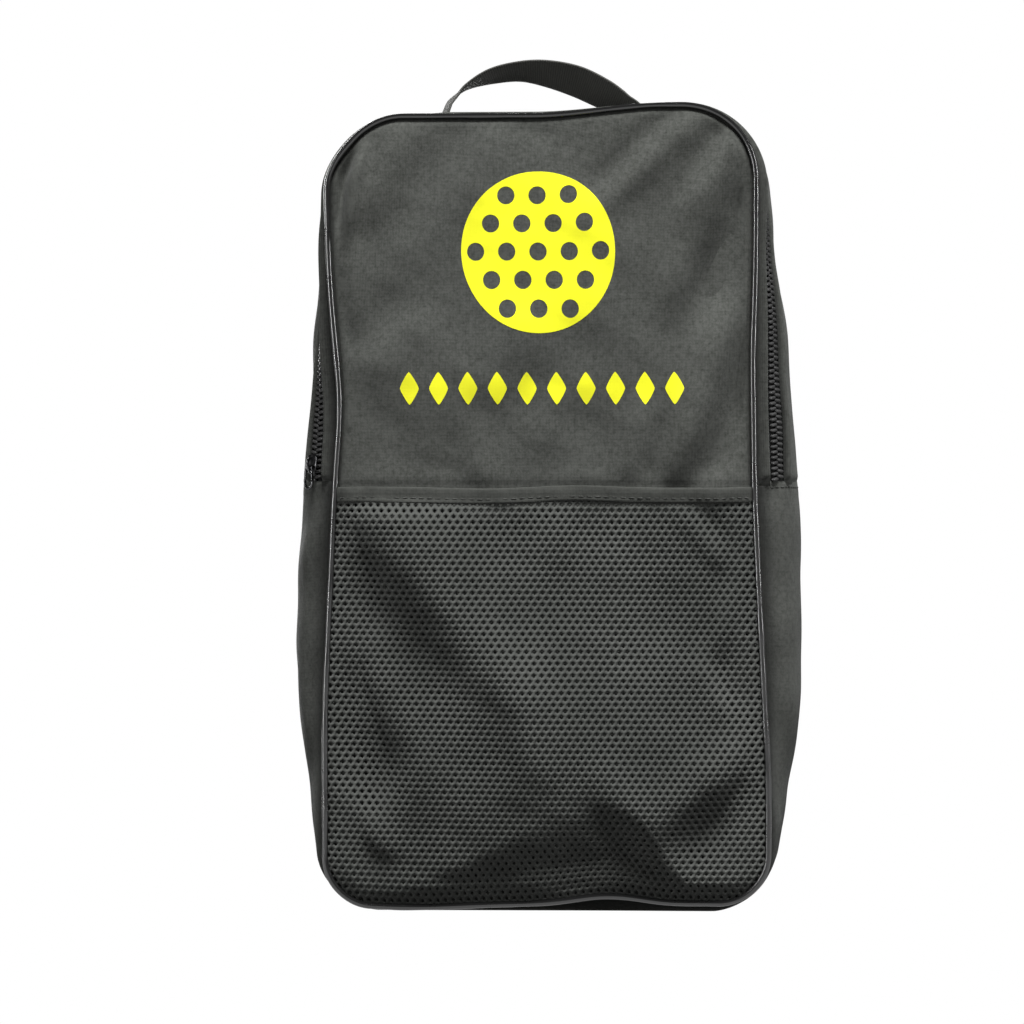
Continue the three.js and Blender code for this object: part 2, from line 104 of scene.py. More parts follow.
OUTLINES = {
    "seam": (SEAM_BOTTOM, SEAM_TOP, seam_half),
    "zip": (0.0, TOP, zip_half),
    "outer": (0.0, TOP, outer_half),
}


def right_half(name, upper, counts, cut):
    """Points (x, z) up the right half of an outline, below a height or, if upper, above it."""
    bottom, top, half = OUTLINES[name]
    edge, corner, side = counts
    radius = top - HIGH_CORNER if upper else LOW_CORNER - bottom
    turn = np.linspace(0, math.pi / 2, corner)
    centre = HIGH_CORNER if upper else LOW_CORNER
    z = centre + (1 if upper else -1) * radius * np.cos(turn)
    x = half(z) - radius + radius * np.sin(turn)
    share = np.linspace(0, 1, edge)[:-1]
    flat = np.stack([x[0] * share, np.full(edge - 1, z[0])], 1)
    bend = np.stack([x, z], 1)
    heights = np.linspace(centre, cut, side)[1:]
    up = np.stack([half(heights), heights], 1)
    line = np.concatenate([flat, bend, up])
    return line[::-1] if upper else line


def mirrored(line):
    return line * [-1, 1]


def whole(name, upper, counts, height):
    """An outline from its left end to its right end, round the bottom or over the top."""
    line = right_half(name, upper, counts, height)
    if upper:
        return np.concatenate([mirrored(line), line[::-1][1:]])
    return np.concatenate([mirrored(line)[::-1], line[1:]])


def tilt_at(z):
    low = smoothstep(z, SEAM_BOTTOM, LOW_CORNER * 4)
    return ZIP_TILT * low * (1 - smoothstep(z, 324, HIGH_CORNER))


def normals_of(line):
    along = np.gradient(line, axis=0)
    along /= np.linalg.norm(along, axis=1)[:, None]
    normal = np.stack([along[:, 1], -along[:, 0]], 1)
    inward = (normal * (line - [0, 200])).sum(1) < 0
    normal[inward] *= -1
    return normal


# places across the gusset, from the front seam to the back one, where its cross-section is given
KNOTS = np.array([-SEAM, ZIP_DEPTH - STRIP_EDGE, ZIP_DEPTH + STRIP_EDGE, 0, 12, 24, SEAM])


def sections(upper, height, counts):
    """Knots of the gusset's cross-section at every station: places and outward directions."""
    seam, zipped, outer = (whole(n, upper, counts, height) for n in ("seam", "zip", "outer"))
    normal = normals_of(zipped)
    tilt = tilt_at(seam[:, 1])
    if upper:
        # slack turns the zip away from the front as it climbs, more on the left
        tilt = tilt * (1 - 0.9 * smoothstep(seam[:, 1], 236, 292) * smoothstep(-seam[:, 0], 40, 90))
        tilt = tilt * (1 - 0.45 * smoothstep(seam[:, 1], 240, 300) * smoothstep(seam[:, 0], 40, 90))

    def knot(place, depth, turn):
        depth = np.broadcast_to(depth, tilt.shape)
        at = np.stack([place[:, 0], depth, place[:, 1]], 1)
        out = np.stack([normal[:, 0] * np.cos(turn), -np.sin(turn), normal[:, 1] * np.cos(turn)], 1)
        return at, out

    def zip_edge(side):
        place = zipped + normal * (side * STRIP_EDGE * np.sin(tilt))[:, None]
        return knot(place, ZIP_DEPTH + side * STRIP_EDGE * np.cos(tilt), tilt)

    shoulder = lerp(seam, outer, lerp(1, 0.7, tilt / ZIP_TILT)[:, None])
    level = np.zeros_like(tilt)
    knots = [
        knot(seam, -SEAM, tilt), zip_edge(-1), zip_edge(1), knot(outer, 0, level), knot(outer, 12, level),
        knot(shoulder, 24, -tilt * 0.6), knot(seam, SEAM, -tilt * 0.8),
    ]
    return np.stack([k[0] for k in knots], 1), np.stack([k[1] for k in knots], 1)


def across_curve(places, outs, across, sharp=False):
    """Places and outward directions across the cloth, on a curve through the knots unless sharp."""
    across = np.asarray(across, float)
    i = np.clip(np.searchsorted(KNOTS, across, side="right") - 1, 0, len(KNOTS) - 2)
    t = ((across - KNOTS[i]) / (KNOTS[i + 1] - KNOTS[i]))[None, :, None]
    a, b = places[:, i], places[:, i + 1]
    direction = lerp(outs[:, i], outs[:, i + 1], t)
    direction /= np.linalg.norm(direction, axis=2)[:, :, None]
    if sharp:
        return lerp(a, b, t), direction
    slope = np.gradient(places, KNOTS, axis=1)
    width = (KNOTS[i + 1] - KNOTS[i])[None, :, None]
    ma, mb = slope[:, i] * width, slope[:, i + 1] * width
    near, far = (2 * t**3 - 3 * t**2 + 1) * a, (3 * t**2 - 2 * t**3) * b
    return near + (t**3 - 2 * t**2 + t) * ma + far + (t**3 - t**2) * mb, direction


# ---- How the soft case has settled: small departures from its cut shape ----


def top_droop(x):
    """How far the slack top has sunk behind the front seam."""
    return -6.2 + 1.5 * smoothstep(x, -62, -46) + 3.9 * smoothstep(x, -5, 62)


# where each side leans out or in: height, how far, and spread
LEFT_SWELLS = ((26, 2.2, 15), (192, 2.2, 17), (250, 2.0, 22), (300, 1.2, 16), (340, -1.5, 20))
RIGHT_SWELLS = (
    (160, 1.3, 22), (205, 0.6, 12), (240, 1.3, 20), (290, 1.7, 22), (328, -1.7, 16), (362, -1.6, 16),
)


def swell(z, middle, amount, spread):
    return amount * np.exp(-(((z - middle) / spread) ** 2))


def settle(p):
    """Moves points (…, 3) of the ideal case to where the standing, slightly slack case has them."""
    p = np.array(p, float)
    x, y, z = p[..., 0], p[..., 1], p[..., 2]
    front = smoothstep(-y, 22, 33)
    left, right = smoothstep(-x, 60, 100), smoothstep(x, 60, 100)
    sway = swell(z, 248, 0.9, 26) + swell(z, 45, 1.1, 45) - 1.1 * smoothstep(z, 290, 370) * (1 - right)
    drawn_in = smoothstep(z, 250, 325) * (1 - smoothstep(z, 358, 386))
    sway = sway + left * (1.5 * smoothstep(z, 365, 388) - 2.0 * drawn_in)
    droop = -2.0 + 5.0 * smoothstep(x, -5, 62)
    droop_back = top_droop(x)
    high = smoothstep(z, 300, 396)
    low = 1 - smoothstep(z, 2, 45)
    heave = swell(x, -66, -1.9, 34) + swell(x, 32, 4.0, 24) + 0.6 * smoothstep(x, 55, 80)
    behind = smoothstep(y, -26, -10)
    # the sides lean in and out by a millimetre or two
    slack = left * smoothstep(y, -30, -4) * sum(swell(z, *s) for s in LEFT_SWELLS)
    slack = slack + right * behind * sum(swell(z, *s) for s in RIGHT_SWELLS)
    p[..., 0] = x + sway * front + slack
    p[..., 2] = z + high * lerp(droop_back, droop, front) + low * heave * front
    return p


def waves(seed, wavelength, count=14):
    """A smooth random field of about unit height, made of plane waves."""
    rng = np.random.default_rng(seed)
    angle = rng.uniform(0, 2 * math.pi, count)
    length = wavelength * rng.uniform(0.7, 1.6, count)
    phase = rng.uniform(0, 2 * math.pi, count)

    def field(u, v):
        total = 0
        for a, w, f in zip(angle, length, phase):
            total = total + np.sin((u * math.cos(a) + v * math.sin(a)) * 2 * math.pi / w + f)
        return total / math.sqrt(count / 2)

    return field


def line_frame(x, z, start, end):
    """Distance off a line, positive on the right of one that runs down, and a fade at its ends."""
    (x0, z0), (x1, z1) = start, end
    length = math.hypot(x1 - x0, z1 - z0)
    ux, uz = (x1 - x0) / length, (z1 - z0) / length
    along = ((x - x0) * ux + (z - z0) * uz) / length
    off = -(x - x0) * uz + (z - z0) * ux
    return off, smoothstep(along, -0.15, 0.3) * (1 - smoothstep(along, 0.7, 1.15))


def ridge(x, z, start, end, width, height):
    """A soft ridge along a line, or a valley where height is negative."""
    off, fade = line_frame(x, z, start, end)
    return height * fade * np.exp(-((off / width) ** 2))


def fold(x, z, start, end, width, height):
    """A slanting wall along a line: a crest on its right side and a trough on its left."""
    off, fade = line_frame(x, z, start, end)
    t = off / width
    return height * fade * t * np.exp(0.5 - t * t / 2)


def edge_distance(x, z):
    """About how far a point of a panel is inside its seam."""
    half = seam_half(z)
    side = half - np.abs(x)
    radius_top, radius_bottom = SEAM_TOP - HIGH_CORNER, LOW_CORNER - SEAM_BOTTOM
    top, bottom = SEAM_TOP - z, z - SEAM_BOTTOM
    d = np.minimum(np.minimum(side, top), bottom)
    cx, cz = half - radius_top, HIGH_CORNER
    in_top = (np.abs(x) > cx) & (z > cz)
    d = np.where(in_top, radius_top - np.hypot(np.abs(x) - cx, z - cz), d)
    cx, cz = half - radius_bottom, LOW_CORNER
    in_low = (np.abs(x) > cx) & (z < cz)
    return np.where(in_low, radius_bottom - np.hypot(np.abs(x) - cx, z - cz), d)


def pillow(x, z):
    """How far a stuffed panel stands out: 1 in the middle, 0 at its seam, leaning back towards the top."""
    u = np.clip(np.abs(x) / seam_half(z), 0, 1)
    v = np.clip((2 * z - SEAM_TOP - SEAM_BOTTOM) / (SEAM_TOP - SEAM_BOTTOM), -1, 1)
    return (1 - u**4) * np.where(v > 0, 1 - np.abs(v) ** 2.6, 1 - v**4)


slow = waves(3, 90)
medium = waves(11, 38)
fine = waves(23, 15)


# slanting walls in the slack cloth: start, end, half width and height, where a positive height
# puts the crest on the right of a wall that runs down
UPPER_FOLDS = (
    ((98, 372), (68, 292), 9.0, -4.6),
    ((102, 302), (71, 208), 9.0, -4.8),
    ((54, 252), (46, 208), 6.5, -2.0),
    ((-62, 390), (-78, 338), 9.0, -2.4),
    ((-92, 384), (-99, 332), 3.2, 4.6),
    ((-42, 244), (-36, 208), 7.0, 1.0),
    ((74, 396), (26, 352), 6.5, 2.6),
    ((96, 392), (66, 344), 5.0, 1.8),
    ((-104, 330), (-94, 285), 7.0, 1.2),
    ((-60, 304), (-98, 268), 9.0, 1.6),
    ((14, 300), (-34, 244), 13.0, -1.4),
    ((-30, 396), (-46, 352), 8.0, 1.0),
    ((20, 262), (-6, 214), 9.0, -0.8),
)

LOWER_FOLDS = (
    ((-110, 200), (-40, 60), 32.0, 5.0),
    ((-108, 206), (-14, 84), 19.0, 6.0),
    ((-18, 112), (-12, 64), 9.0, 1.6),
    ((-110, 144), (-70, 66), 15.0, 6.4),
    ((68, 206), (95, 172), 5.0, -1.8),
    ((95, 174), (79, 126), 5.0, 1.8),
    ((79, 128), (98, 94), 5.5, -1.9),
    ((48, 196), (40, 120), 10.0, -1.6),
    ((24, 62), (70, 4), 9.0, 1.8),
    ((112, 78), (56, 34), 11.0, -4.6),
    ((20, 206), (-4, 150), 9.0, -1.3),
    ((-104, 60), (-78, 20), 6.0, 1.6),
)


def seam_groove(distance):
    """The sewn-down edge of the cloth beside a piped seam."""
    return 1.3 * np.exp(-(((distance - 1.7) / 1.5) ** 2))


def shade_beside_seam(distance, reach):
    """How much painted shade darkens cloth at a distance from its seam, where shade falls beside it."""
    return np.exp(-((np.maximum(distance - 0.6, 0) / reach) ** 2))


def slackness(x, z, shift):
    """The cloth's own unevenness: broad, middling and fine."""
    inside = smoothstep(edge_distance(x, z), 0, 10)
    return inside * (0.8 * slow(x + shift, z) + 0.3 * medium(x + shift, z) + 0.07 * fine(x, z + shift))


def lower_folds(x, z):
    inside = smoothstep(edge_distance(x, z), 1, 11)
    total = sum(fold(x, z, *f) for f in LOWER_FOLDS) + ridge(x, z, (-58, 76), (-94, 20), 12, 3.4)
    # the slack cloth sags forward over the lower edge, and hangs highest above it to the right of the middle
    sill = 17 + 40 * smoothstep(x, -80, 36) * (1 - smoothstep(x, 38, 72))
    belly = 9.5 * smoothstep(z, 5, sill) * (1 - smoothstep(z, 56, 160)) * np.exp(-(((x - 8) / 68) ** 4))
    return inside * (total + belly) * (1 - smoothstep(z, 194, 207))


def front_relief(x, z):
    """How far the front panel stands out from the flat between its seams."""
    inside = smoothstep(edge_distance(x, z), 0, 9)
    up = smoothstep(z, 205, 222)
    relief = FRONT_PUFF * pillow(x, z) + slackness(x, z, 0.0) - seam_groove(edge_distance(x, z))
    relief = relief + up * inside * sum(fold(x, z, *f) for f in UPPER_FOLDS)
    brow = swell(z, HEM_TOP + 5, 0.25, 4) - swell(z, HEM_TOP + 0.2, 0.5, 1.2)
    return relief + 0.55 * lower_folds(x, z) + inside * brow


def net_relief(x, z):
    """How far the net stands off the front panel."""
    d = edge_distance(x, z)
    inside = smoothstep(d, 1, 22)
    u = np.clip(np.abs(x) / seam_half(z), 0, 1)
    base = 0.5 + 4.6 * smoothstep(z, 8, 74) * (1 - u**6) * inside
    clearance = 0.4 + 2.1 * smoothstep(d, 1, 11)
    return np.maximum(clearance, base + 0.45 * lower_folds(x, z) + 0.2 * inside * slow(x + 400, z))


# ---- Meshes ----


def to_mesh(name, verts, faces, cloth=None, seam_shade=None):
    """A mesh object from points in millimetres. cloth holds each point's place on the laid-out cloth, in mm.

    The last argument tells, from 0 to 1, how much painted shade darkens the cloth's colour at each point, as
    shade falls beside a seam."""
    mesh = bpy.data.meshes.new(name)
    verts = np.asarray(verts, float).reshape(-1, 3) * MM
    mesh.from_pydata([tuple(v) for v in verts], [], [tuple(int(i) for i in f) for f in faces])
    mesh.polygons.foreach_set("use_smooth", [True] * len(mesh.polygons))
    if cloth is not None:
        layer = mesh.attributes.new("cloth", "FLOAT_VECTOR", "POINT")
        flat = np.zeros((len(verts), 3))
        flat[:, :2] = np.asarray(cloth, float).reshape(-1, 2)
        layer.data.foreach_set("vector", flat.ravel())
    if seam_shade is not None:
        layer = mesh.attributes.new("crease_shade", "FLOAT", "POINT")
        layer.data.foreach_set("value", np.clip(np.asarray(seam_shade, float).ravel(), 0, 1))
    mesh.update()
    mesh.validate()
    obj = bpy.data.objects.new(name, mesh)
    bpy.context.scene.collection.objects.link(obj)
    return obj


def grid_faces(rows, columns, offset=0, flip=False):
    """Quads between the points of a grid."""
    i, j = np.meshgrid(np.arange(rows - 1), np.arange(columns - 1), indexing="ij")
    quads = (i * columns + j).ravel()[:, None] + [0, columns, columns + 1, 1] + offset
    return quads[:, ::-1] if flip else quads


def ring_faces(rings, sides, closed=False):
    """Quads between rings of points, with a cap on each end unless the last ring meets the first."""
    i, j = np.meshgrid(np.arange(rings if closed else rings - 1), np.arange(sides), indexing="ij")
    k, m = (i + 1) % rings, (j + 1) % sides
    corners = (i * sides + j, i * sides + m, k * sides + m, k * sides + j)
    faces = np.stack([c.ravel() for c in corners], 1).tolist()
    if not closed:
        last = (rings - 1) * sides
        faces += [list(range(sides))[::-1], list(range(last, last + sides))]
    return faces


def slab(name, outer, inner, cloth, seam_shade=None):
    """A closed thin solid between two grids of points of the same shape."""
    rows, columns = outer.shape[:2]
    n = rows * columns
    faces = [grid_faces(rows, columns), grid_faces(rows, columns, n, flip=True)]
    grid = np.arange(n).reshape(rows, columns)
    for edge, turned in ((grid[:, 0], False), (grid[:, -1], True), (grid[0], True), (grid[-1], False)):
        a, b = edge[:-1], edge[1:]
        rim = np.stack([b, a, a + n, b + n], 1)
        faces.append(rim[:, ::-1] if turned else rim)
    cloth = np.concatenate([cloth.reshape(-1, 2)] * 2)
    # the painted shade goes on both faces
    if seam_shade is not None:
        seam_shade = np.concatenate([np.broadcast_to(seam_shade, outer.shape[:2]).ravel()] * 2)
    points = np.concatenate([outer.reshape(-1, 3), inner.reshape(-1, 3)])
    obj = to_mesh(name, points, np.concatenate(faces), cloth, seam_shade)
    facing_out(obj)
    return obj


def facing_out(obj):
    """Turns the faces round if the closed mesh is inside out."""
    mesh = obj.data
    mesh.calc_loop_triangles()
    co = np.array([v.co for v in mesh.vertices])
    tri = np.array([t.vertices for t in mesh.loop_triangles])
    a, b, c = co[tri[:, 0]], co[tri[:, 1]], co[tri[:, 2]]
    if (a * np.cross(b, c)).sum() < 0:
        mesh.flip_normals()


def closed_cord(name, path, radius, sides=12):
    """A round cord along a closed path of points, with its radius at each."""
    along = np.roll(path, -1, 0) - np.roll(path, 1, 0)
    along /= np.linalg.norm(along, axis=1)[:, None]
    side = np.cross(along, [0, 1.0, 0])
    side /= np.linalg.norm(side, axis=1)[:, None]
    up = np.cross(side, along)
    turn = np.linspace(0, 2 * math.pi, sides, endpoint=False)
    spokes = side[:, None] * np.cos(turn)[None, :, None] + up[:, None] * np.sin(turn)[None, :, None]
    cloth = np.stack(np.broadcast_arrays(arc_length(path)[:, None], np.arange(sides)[None, :] * 1.0), -1)
    rings = path[:, None] + radius[:, None, None] * spokes
    obj = to_mesh(name, rings, ring_faces(len(path), sides, closed=True), cloth)
    facing_out(obj)
    return obj


def capsules(name, centres, along, out, length, radius, flat=0.7, sides=6, rings=4):
    """Many small rounded bars in one mesh, such as stitches and zip teeth, each with its own directions."""
    centres, along, out = (np.asarray(v, float) for v in (centres, along, out))
    along = along / np.linalg.norm(along, axis=1)[:, None]
    out = out - (out * along).sum(1)[:, None] * along
    out /= np.linalg.norm(out, axis=1)[:, None]
    side = np.cross(along, out)
    steps = np.linspace(-1, 1, rings)
    t = np.sign(steps) * np.abs(steps) ** 0.8
    half = length / 2
    profile = np.sqrt(np.clip(1 - np.abs(t) ** 3.5, 0.06, 1))
    turn = np.linspace(0, 2 * math.pi, sides, endpoint=False)
    verts = (
        centres[:, None, None]
        + along[:, None, None] * (t * half)[None, :, None, None]
        + side[:, None, None] * (profile[:, None] * np.cos(turn) * radius)[None, :, :, None]
        + out[:, None, None] * (profile[:, None] * np.sin(turn) * radius * flat)[None, :, :, None]
    )
    one = ring_faces(rings, sides)
    faces = [[v + k * rings * sides for v in f] for k in range(len(centres)) for f in one]
    obj = to_mesh(name, verts, faces)
    facing_out(obj)
    return obj


def arc_length(points):
    return np.concatenate([[0], np.cumsum(np.linalg.norm(np.diff(points, axis=0), axis=1))])


def spaced(points, step, *others):
    """Points at equal steps along a line, and other values that go with them."""
    s = arc_length(points)
    count = max(2, int(round(s[-1] / step)) + 1)
    at = np.linspace(0, s[-1], count)
    return [np.stack([np.interp(at, s, v[:, k]) for k in range(v.shape[1])], 1) for v in (points, *others)]


# ---- Materials ----


class Nodes:
    def __init__(self, name):
        self.material = bpy.data.materials.new(name)
        self.material.use_nodes = True
        self.tree = self.material.node_tree
        self.tree.nodes.clear()
        self.out = self.add("ShaderNodeOutputMaterial")
        self.shader = self.add("ShaderNodeBsdfPrincipled")
        self.link(self.shader.outputs[0], self.out.inputs[0])

    def add(self, kind, **settings):
        node = self.tree.nodes.new(kind)
        for key, value in settings.items():
            setattr(node, key, value)
        return node

    def link(self, a, b):
        self.tree.links.new(a, b)

    def put(self, socket, value):
        if hasattr(value, "is_output"):
            self.link(value, socket)
        else:
            socket.default_value = value

    def math(self, operation, a, b=0.0):
        node = self.add("ShaderNodeMath", operation=operation)
        self.put(node.inputs[0], a)
        self.put(node.inputs[1], b)
        return node.outputs[0]

    def times(self, a, b):
        return self.math("MULTIPLY", a, b)

    def plus(self, a, b):
        return self.math("ADD", a, b)

    def attribute(self, name):
        return self.add("ShaderNodeAttribute", attribute_name=name)

    def cloth(self):
        split = self.add("ShaderNodeSeparateXYZ")
        self.link(self.attribute("cloth").outputs["Vector"], split.inputs[0])
        return split.outputs[0], split.outputs[1]

    def position(self):
        return self.add("ShaderNodeTexCoord").outputs["Object"]

    def noise(self, scale, detail=3.0, roughness=0.55):
        node = self.add("ShaderNodeTexNoise")
        self.link(self.position(), node.inputs["Vector"])
        node.inputs["Scale"].default_value = scale
        node.inputs["Detail"].default_value = detail
        node.inputs["Roughness"].default_value = roughness
        return node.outputs["Fac"]

    def ramp(self, value, low, high, a, b):
        node = self.add("ShaderNodeMapRange")
        self.put(node.inputs["Value"], value)
        for name, v in (("From Min", low), ("From Max", high), ("To Min", a), ("To Max", b)):
            node.inputs[name].default_value = v
        return node.outputs[0]

    def mix(self, factor, a, b):
        node = self.add("ShaderNodeMix", data_type="RGBA")
        self.put(node.inputs[0], factor)
        self.put(node.inputs[6], a)
        self.put(node.inputs[7], b)
        return node.outputs[2]

    def bump(self, height, strength, distance):
        node = self.add("ShaderNodeBump")
        node.inputs["Strength"].default_value = strength
        node.inputs["Distance"].default_value = distance
        self.link(height, node.inputs["Height"])
        return node.outputs[0]

    def set(self, **values):
        for name, value in values.items():
            self.put(self.shader.inputs[name.replace("_", " ")], value)
        return self.material


WEAVE = 0.72  # width of a thread of the outer cloth


def woven(name, colour, light, pitch=WEAVE, bump=0.35, roughness=0.72, sheen=0.12, mottle=0.16, gloss=0.1):
    """Plain-weave cloth: crossing threads one pitch apart, with slubs, a little fuzz, uneven dye, and painted
    shade that darkens it beside its seams.
    """
    n = Nodes(name)
    u, v = n.cloth()
    wobble = n.times(n.math("SUBTRACT", n.noise(260.0, 2.0), 0.5), 0.5)
    a = n.times(n.plus(u, wobble), math.pi / pitch)
    b = n.times(n.plus(v, wobble), math.pi / pitch)
    over = n.times(n.math("SINE", a), n.math("SINE", b))
    thread = n.math("POWER", n.math("ABSOLUTE", over), 0.45)
    slub = n.noise(900.0, 2.0)
    height = n.plus(thread, n.times(slub, 0.35))
    patch = n.noise(22.0, 4.0, 0.6)
    speck = n.noise(420.0, 3.0, 0.7)
    shade = n.plus(n.times(patch, mottle), n.times(slub, 0.25))
    shade = n.plus(shade, n.times(speck, 0.75))
    shade = n.plus(shade, n.times(thread, 0.25))
    base = n.mix(n.ramp(shade, 0.42, 0.86, 0.0, 1.0), (*colour, 1), (*light, 1))
    # painted shade: the colour is mixed toward near black where the crease_shade attribute marks cloth beside
    # a seam
    painted_shade = n.attribute("crease_shade").outputs["Fac"]
    base = n.mix(n.times(painted_shade, 0.85), base, (0.006, 0.006, 0.006, 1))
    n.set(Base_Color=base, Roughness=n.ramp(slub, 0.3, 0.7, roughness - 0.06, roughness + 0.08))
    n.set(Normal=n.bump(height, bump, 0.00025), Specular_IOR_Level=gloss)
    return n.set(Sheen_Weight=sheen, Sheen_Roughness=0.5, Sheen_Tint=(0.85, 0.87, 0.85, 1))


def glossy_vinyl(name):
    n = Nodes(name)
    grain = n.noise(700.0, 3.0)
    wave = n.noise(60.0, 2.0)
    n.set(Base_Color=n.mix(wave, (0.005, 0.005, 0.005, 1), (0.013, 0.013, 0.013, 1)))
    n.set(Roughness=n.ramp(wave, 0.3, 0.7, 0.24, 0.36))
    n.set(Normal=n.bump(n.plus(n.times(grain, 0.2), wave), 0.25, 0.0006))
    return n.set(Specular_IOR_Level=1.0, Coat_Weight=1.0, Coat_Roughness=0.2, Coat_IOR=2.0)


def net_yarn(name):
    n = Nodes(name)
    fuzz = n.noise(1400.0, 3.0, 0.7)
    patch = n.noise(18.0, 3.0)
    uneven = n.ramp(patch, 0.3, 0.7, 0.0, 1.0)
    n.set(Base_Color=n.mix(uneven, (0.054, 0.057, 0.053, 1), (0.082, 0.085, 0.080, 1)))
    n.set(Roughness=n.ramp(fuzz, 0.3, 0.7, 0.42, 0.62), Normal=n.bump(fuzz, 0.35, 0.0002))
    return n.set(Sheen_Weight=0.05, Specular_IOR_Level=0.15)


def coil_plastic(name):
    n = Nodes(name)
    speck = n.noise(500.0, 2.0)
    n.set(Base_Color=n.mix(speck, (0.03, 0.03, 0.03, 1), (0.07, 0.07, 0.07, 1)))
    n.set(Roughness=n.ramp(speck, 0.3, 0.7, 0.26, 0.4), Normal=n.bump(speck, 0.2, 0.0002))
    return n.material


def dark_metal(name):
    n = Nodes(name)
    wear = n.noise(380.0, 4.0, 0.65)
    smudge = n.noise(90.0, 2.0)
    base = n.mix(n.ramp(wear, 0.52, 0.7, 0.0, 1.0), (0.12, 0.12, 0.125, 1), (0.42, 0.42, 0.43, 1))
    n.set(Base_Color=base, Roughness=n.ramp(smudge, 0.3, 0.7, 0.16, 0.34), Normal=n.bump(wear, 0.15, 0.0003))
    return n.set(Metallic=1.0)


def ribbed_webbing(name, pitch=1.15):
    """Heavy tape with ribs across it and a finer yarn along it."""
    n = Nodes(name)
    u, v = n.cloth()
    rib = n.math("ABSOLUTE", n.math("SINE", n.times(u, math.pi / pitch)))
    yarn = n.math("ABSOLUTE", n.math("SINE", n.times(v, math.pi / 0.9)))
    fuzz = n.noise(1100.0, 3.0)
    height = n.plus(n.plus(n.times(rib, 0.8), n.times(yarn, 0.5)), fuzz)
    shade = n.plus(n.times(rib, 0.45), n.times(n.noise(40.0), 0.4))
    n.set(Base_Color=n.mix(shade, (0.040, 0.040, 0.037, 1), (0.120, 0.120, 0.112, 1)))
    n.set(Roughness=n.ramp(fuzz, 0.3, 0.7, 0.62, 0.8), Normal=n.bump(height, 0.5, 0.0003))
    return n.set(Sheen_Weight=0.05, Specular_IOR_Level=0.15)


def screen_print(name):
    """Thick printed ink that takes the weave of the cloth under it."""
    n = Nodes(name)
    u, v = n.cloth()
    a = n.times(u, math.pi / WEAVE)
    b = n.times(v, math.pi / WEAVE)
    weave = n.math("ABSOLUTE", n.times(n.math("SINE", a), n.math("SINE", b)))
    thin = n.noise(600.0, 3.0)
    base = n.mix(n.ramp(thin, 0.55, 0.8, 0.0, 0.5), (0.96, 0.96, 0.028, 1), (0.86, 0.88, 0.026, 1))
    n.set(Base_Color=base, Roughness=n.ramp(thin, 0.3, 0.7, 0.5, 0.62), Normal=n.bump(weave, 0.15, 0.0002))
    return n.material


CLOTH = woven("oxford_cloth", (0.030, 0.032, 0.028), (0.090, 0.093, 0.086), sheen=0.08)
HEM = woven("hem_cloth", (0.036, 0.038, 0.034), (0.064, 0.066, 0.061), mottle=0.2, sheen=0.08)
LINING = woven(
    "lining_cloth", (0.02, 0.02, 0.022), (0.05, 0.05, 0.054), pitch=0.35, bump=0.15, roughness=0.55, sheen=0.1,
)
TAPE = woven("zip_tape_cloth", (0.014, 0.014, 0.014), (0.035, 0.035, 0.035), pitch=0.5, bump=0.3)
THREAD = woven("sewing_thread", (0.03, 0.03, 0.028), (0.075, 0.077, 0.072), pitch=0.3, bump=0.2)
VINYL = glossy_vinyl("piping_vinyl")
NET = net_yarn("net_yarn")
COIL = coil_plastic("zip_coil")
METAL = dark_metal("black_nickel")
WEBBING = ribbed_webbing("ribbed_webbing")
PRINT = screen_print("yellow_print")


def finish_piece(obj, material, slot, body, *replaced):
    obj.data.materials.clear()
    obj.data.materials.append(material)
    if body == "flap_and_case":
        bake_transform(obj)
    elif body == "handle_and_case":
        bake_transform(obj)
    else:
        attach(obj, body)
    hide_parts(*replaced)
    return obj


# ---- Panels ----

# places across a panel, from its left side to its right, closer together near the sides
PANEL_COLUMNS = np.sin(np.linspace(-1, 1, 117) * math.pi / 2 * 0.86) / math.sin(math.pi / 2 * 0.86)


def flat_panel(inset):
    """Grids of x and z that fill the seam's outline up to an inset."""
    lower = right_half("seam", False, (2, 22, 96), FOLD)[1:]
    upper = right_half("seam", True, (2, 30, 78), FOLD)[:-1]
    rows = np.concatenate([lower, upper[1:]])
    x = (rows[:, :1] - inset) * PANEL_COLUMNS[None, :]
    z = np.clip(rows[:, 1:], SEAM_BOTTOM + inset, SEAM_TOP - inset)
    return x, np.broadcast_to(z, x.shape)


def build_front_panel():
    x, z = flat_panel(0.6)
    out = np.stack([x, -(OUTER_FACE + front_relief(x, z)), z], -1)
    back = np.stack([x, -(PADDING_BACK + FRONT_PUFF * pillow(x, z)), z], -1)
    # painted shade beside the seam darkens the cloth's colour there
    seam_shade = shade_beside_seam(edge_distance(x, z), 2.0)
    obj = slab("front_panel", settle(out), settle(back), np.stack([x, z], -1), seam_shade=seam_shade)
    finish_piece(
        obj, CLOTH, "cloth", "flap_and_case",
        "front_panel_lower", "front_panel_upper", "front_foam_lower", "front_foam_upper",
    )
    x, z = flat_panel(3)
    puff = FRONT_PUFF * pillow(x, z) + 0.15 * medium(x, z)
    face = np.stack([x, -(LINING_FACE + puff), z], -1)
    rear = face + [0, 0.5, 0]
    obj = slab("front_lining", settle(face), settle(rear), np.stack([x, z], -1))
    finish_piece(obj, LINING, "lining", "flap_and_case", "front_lining_lower", "front_lining_upper")


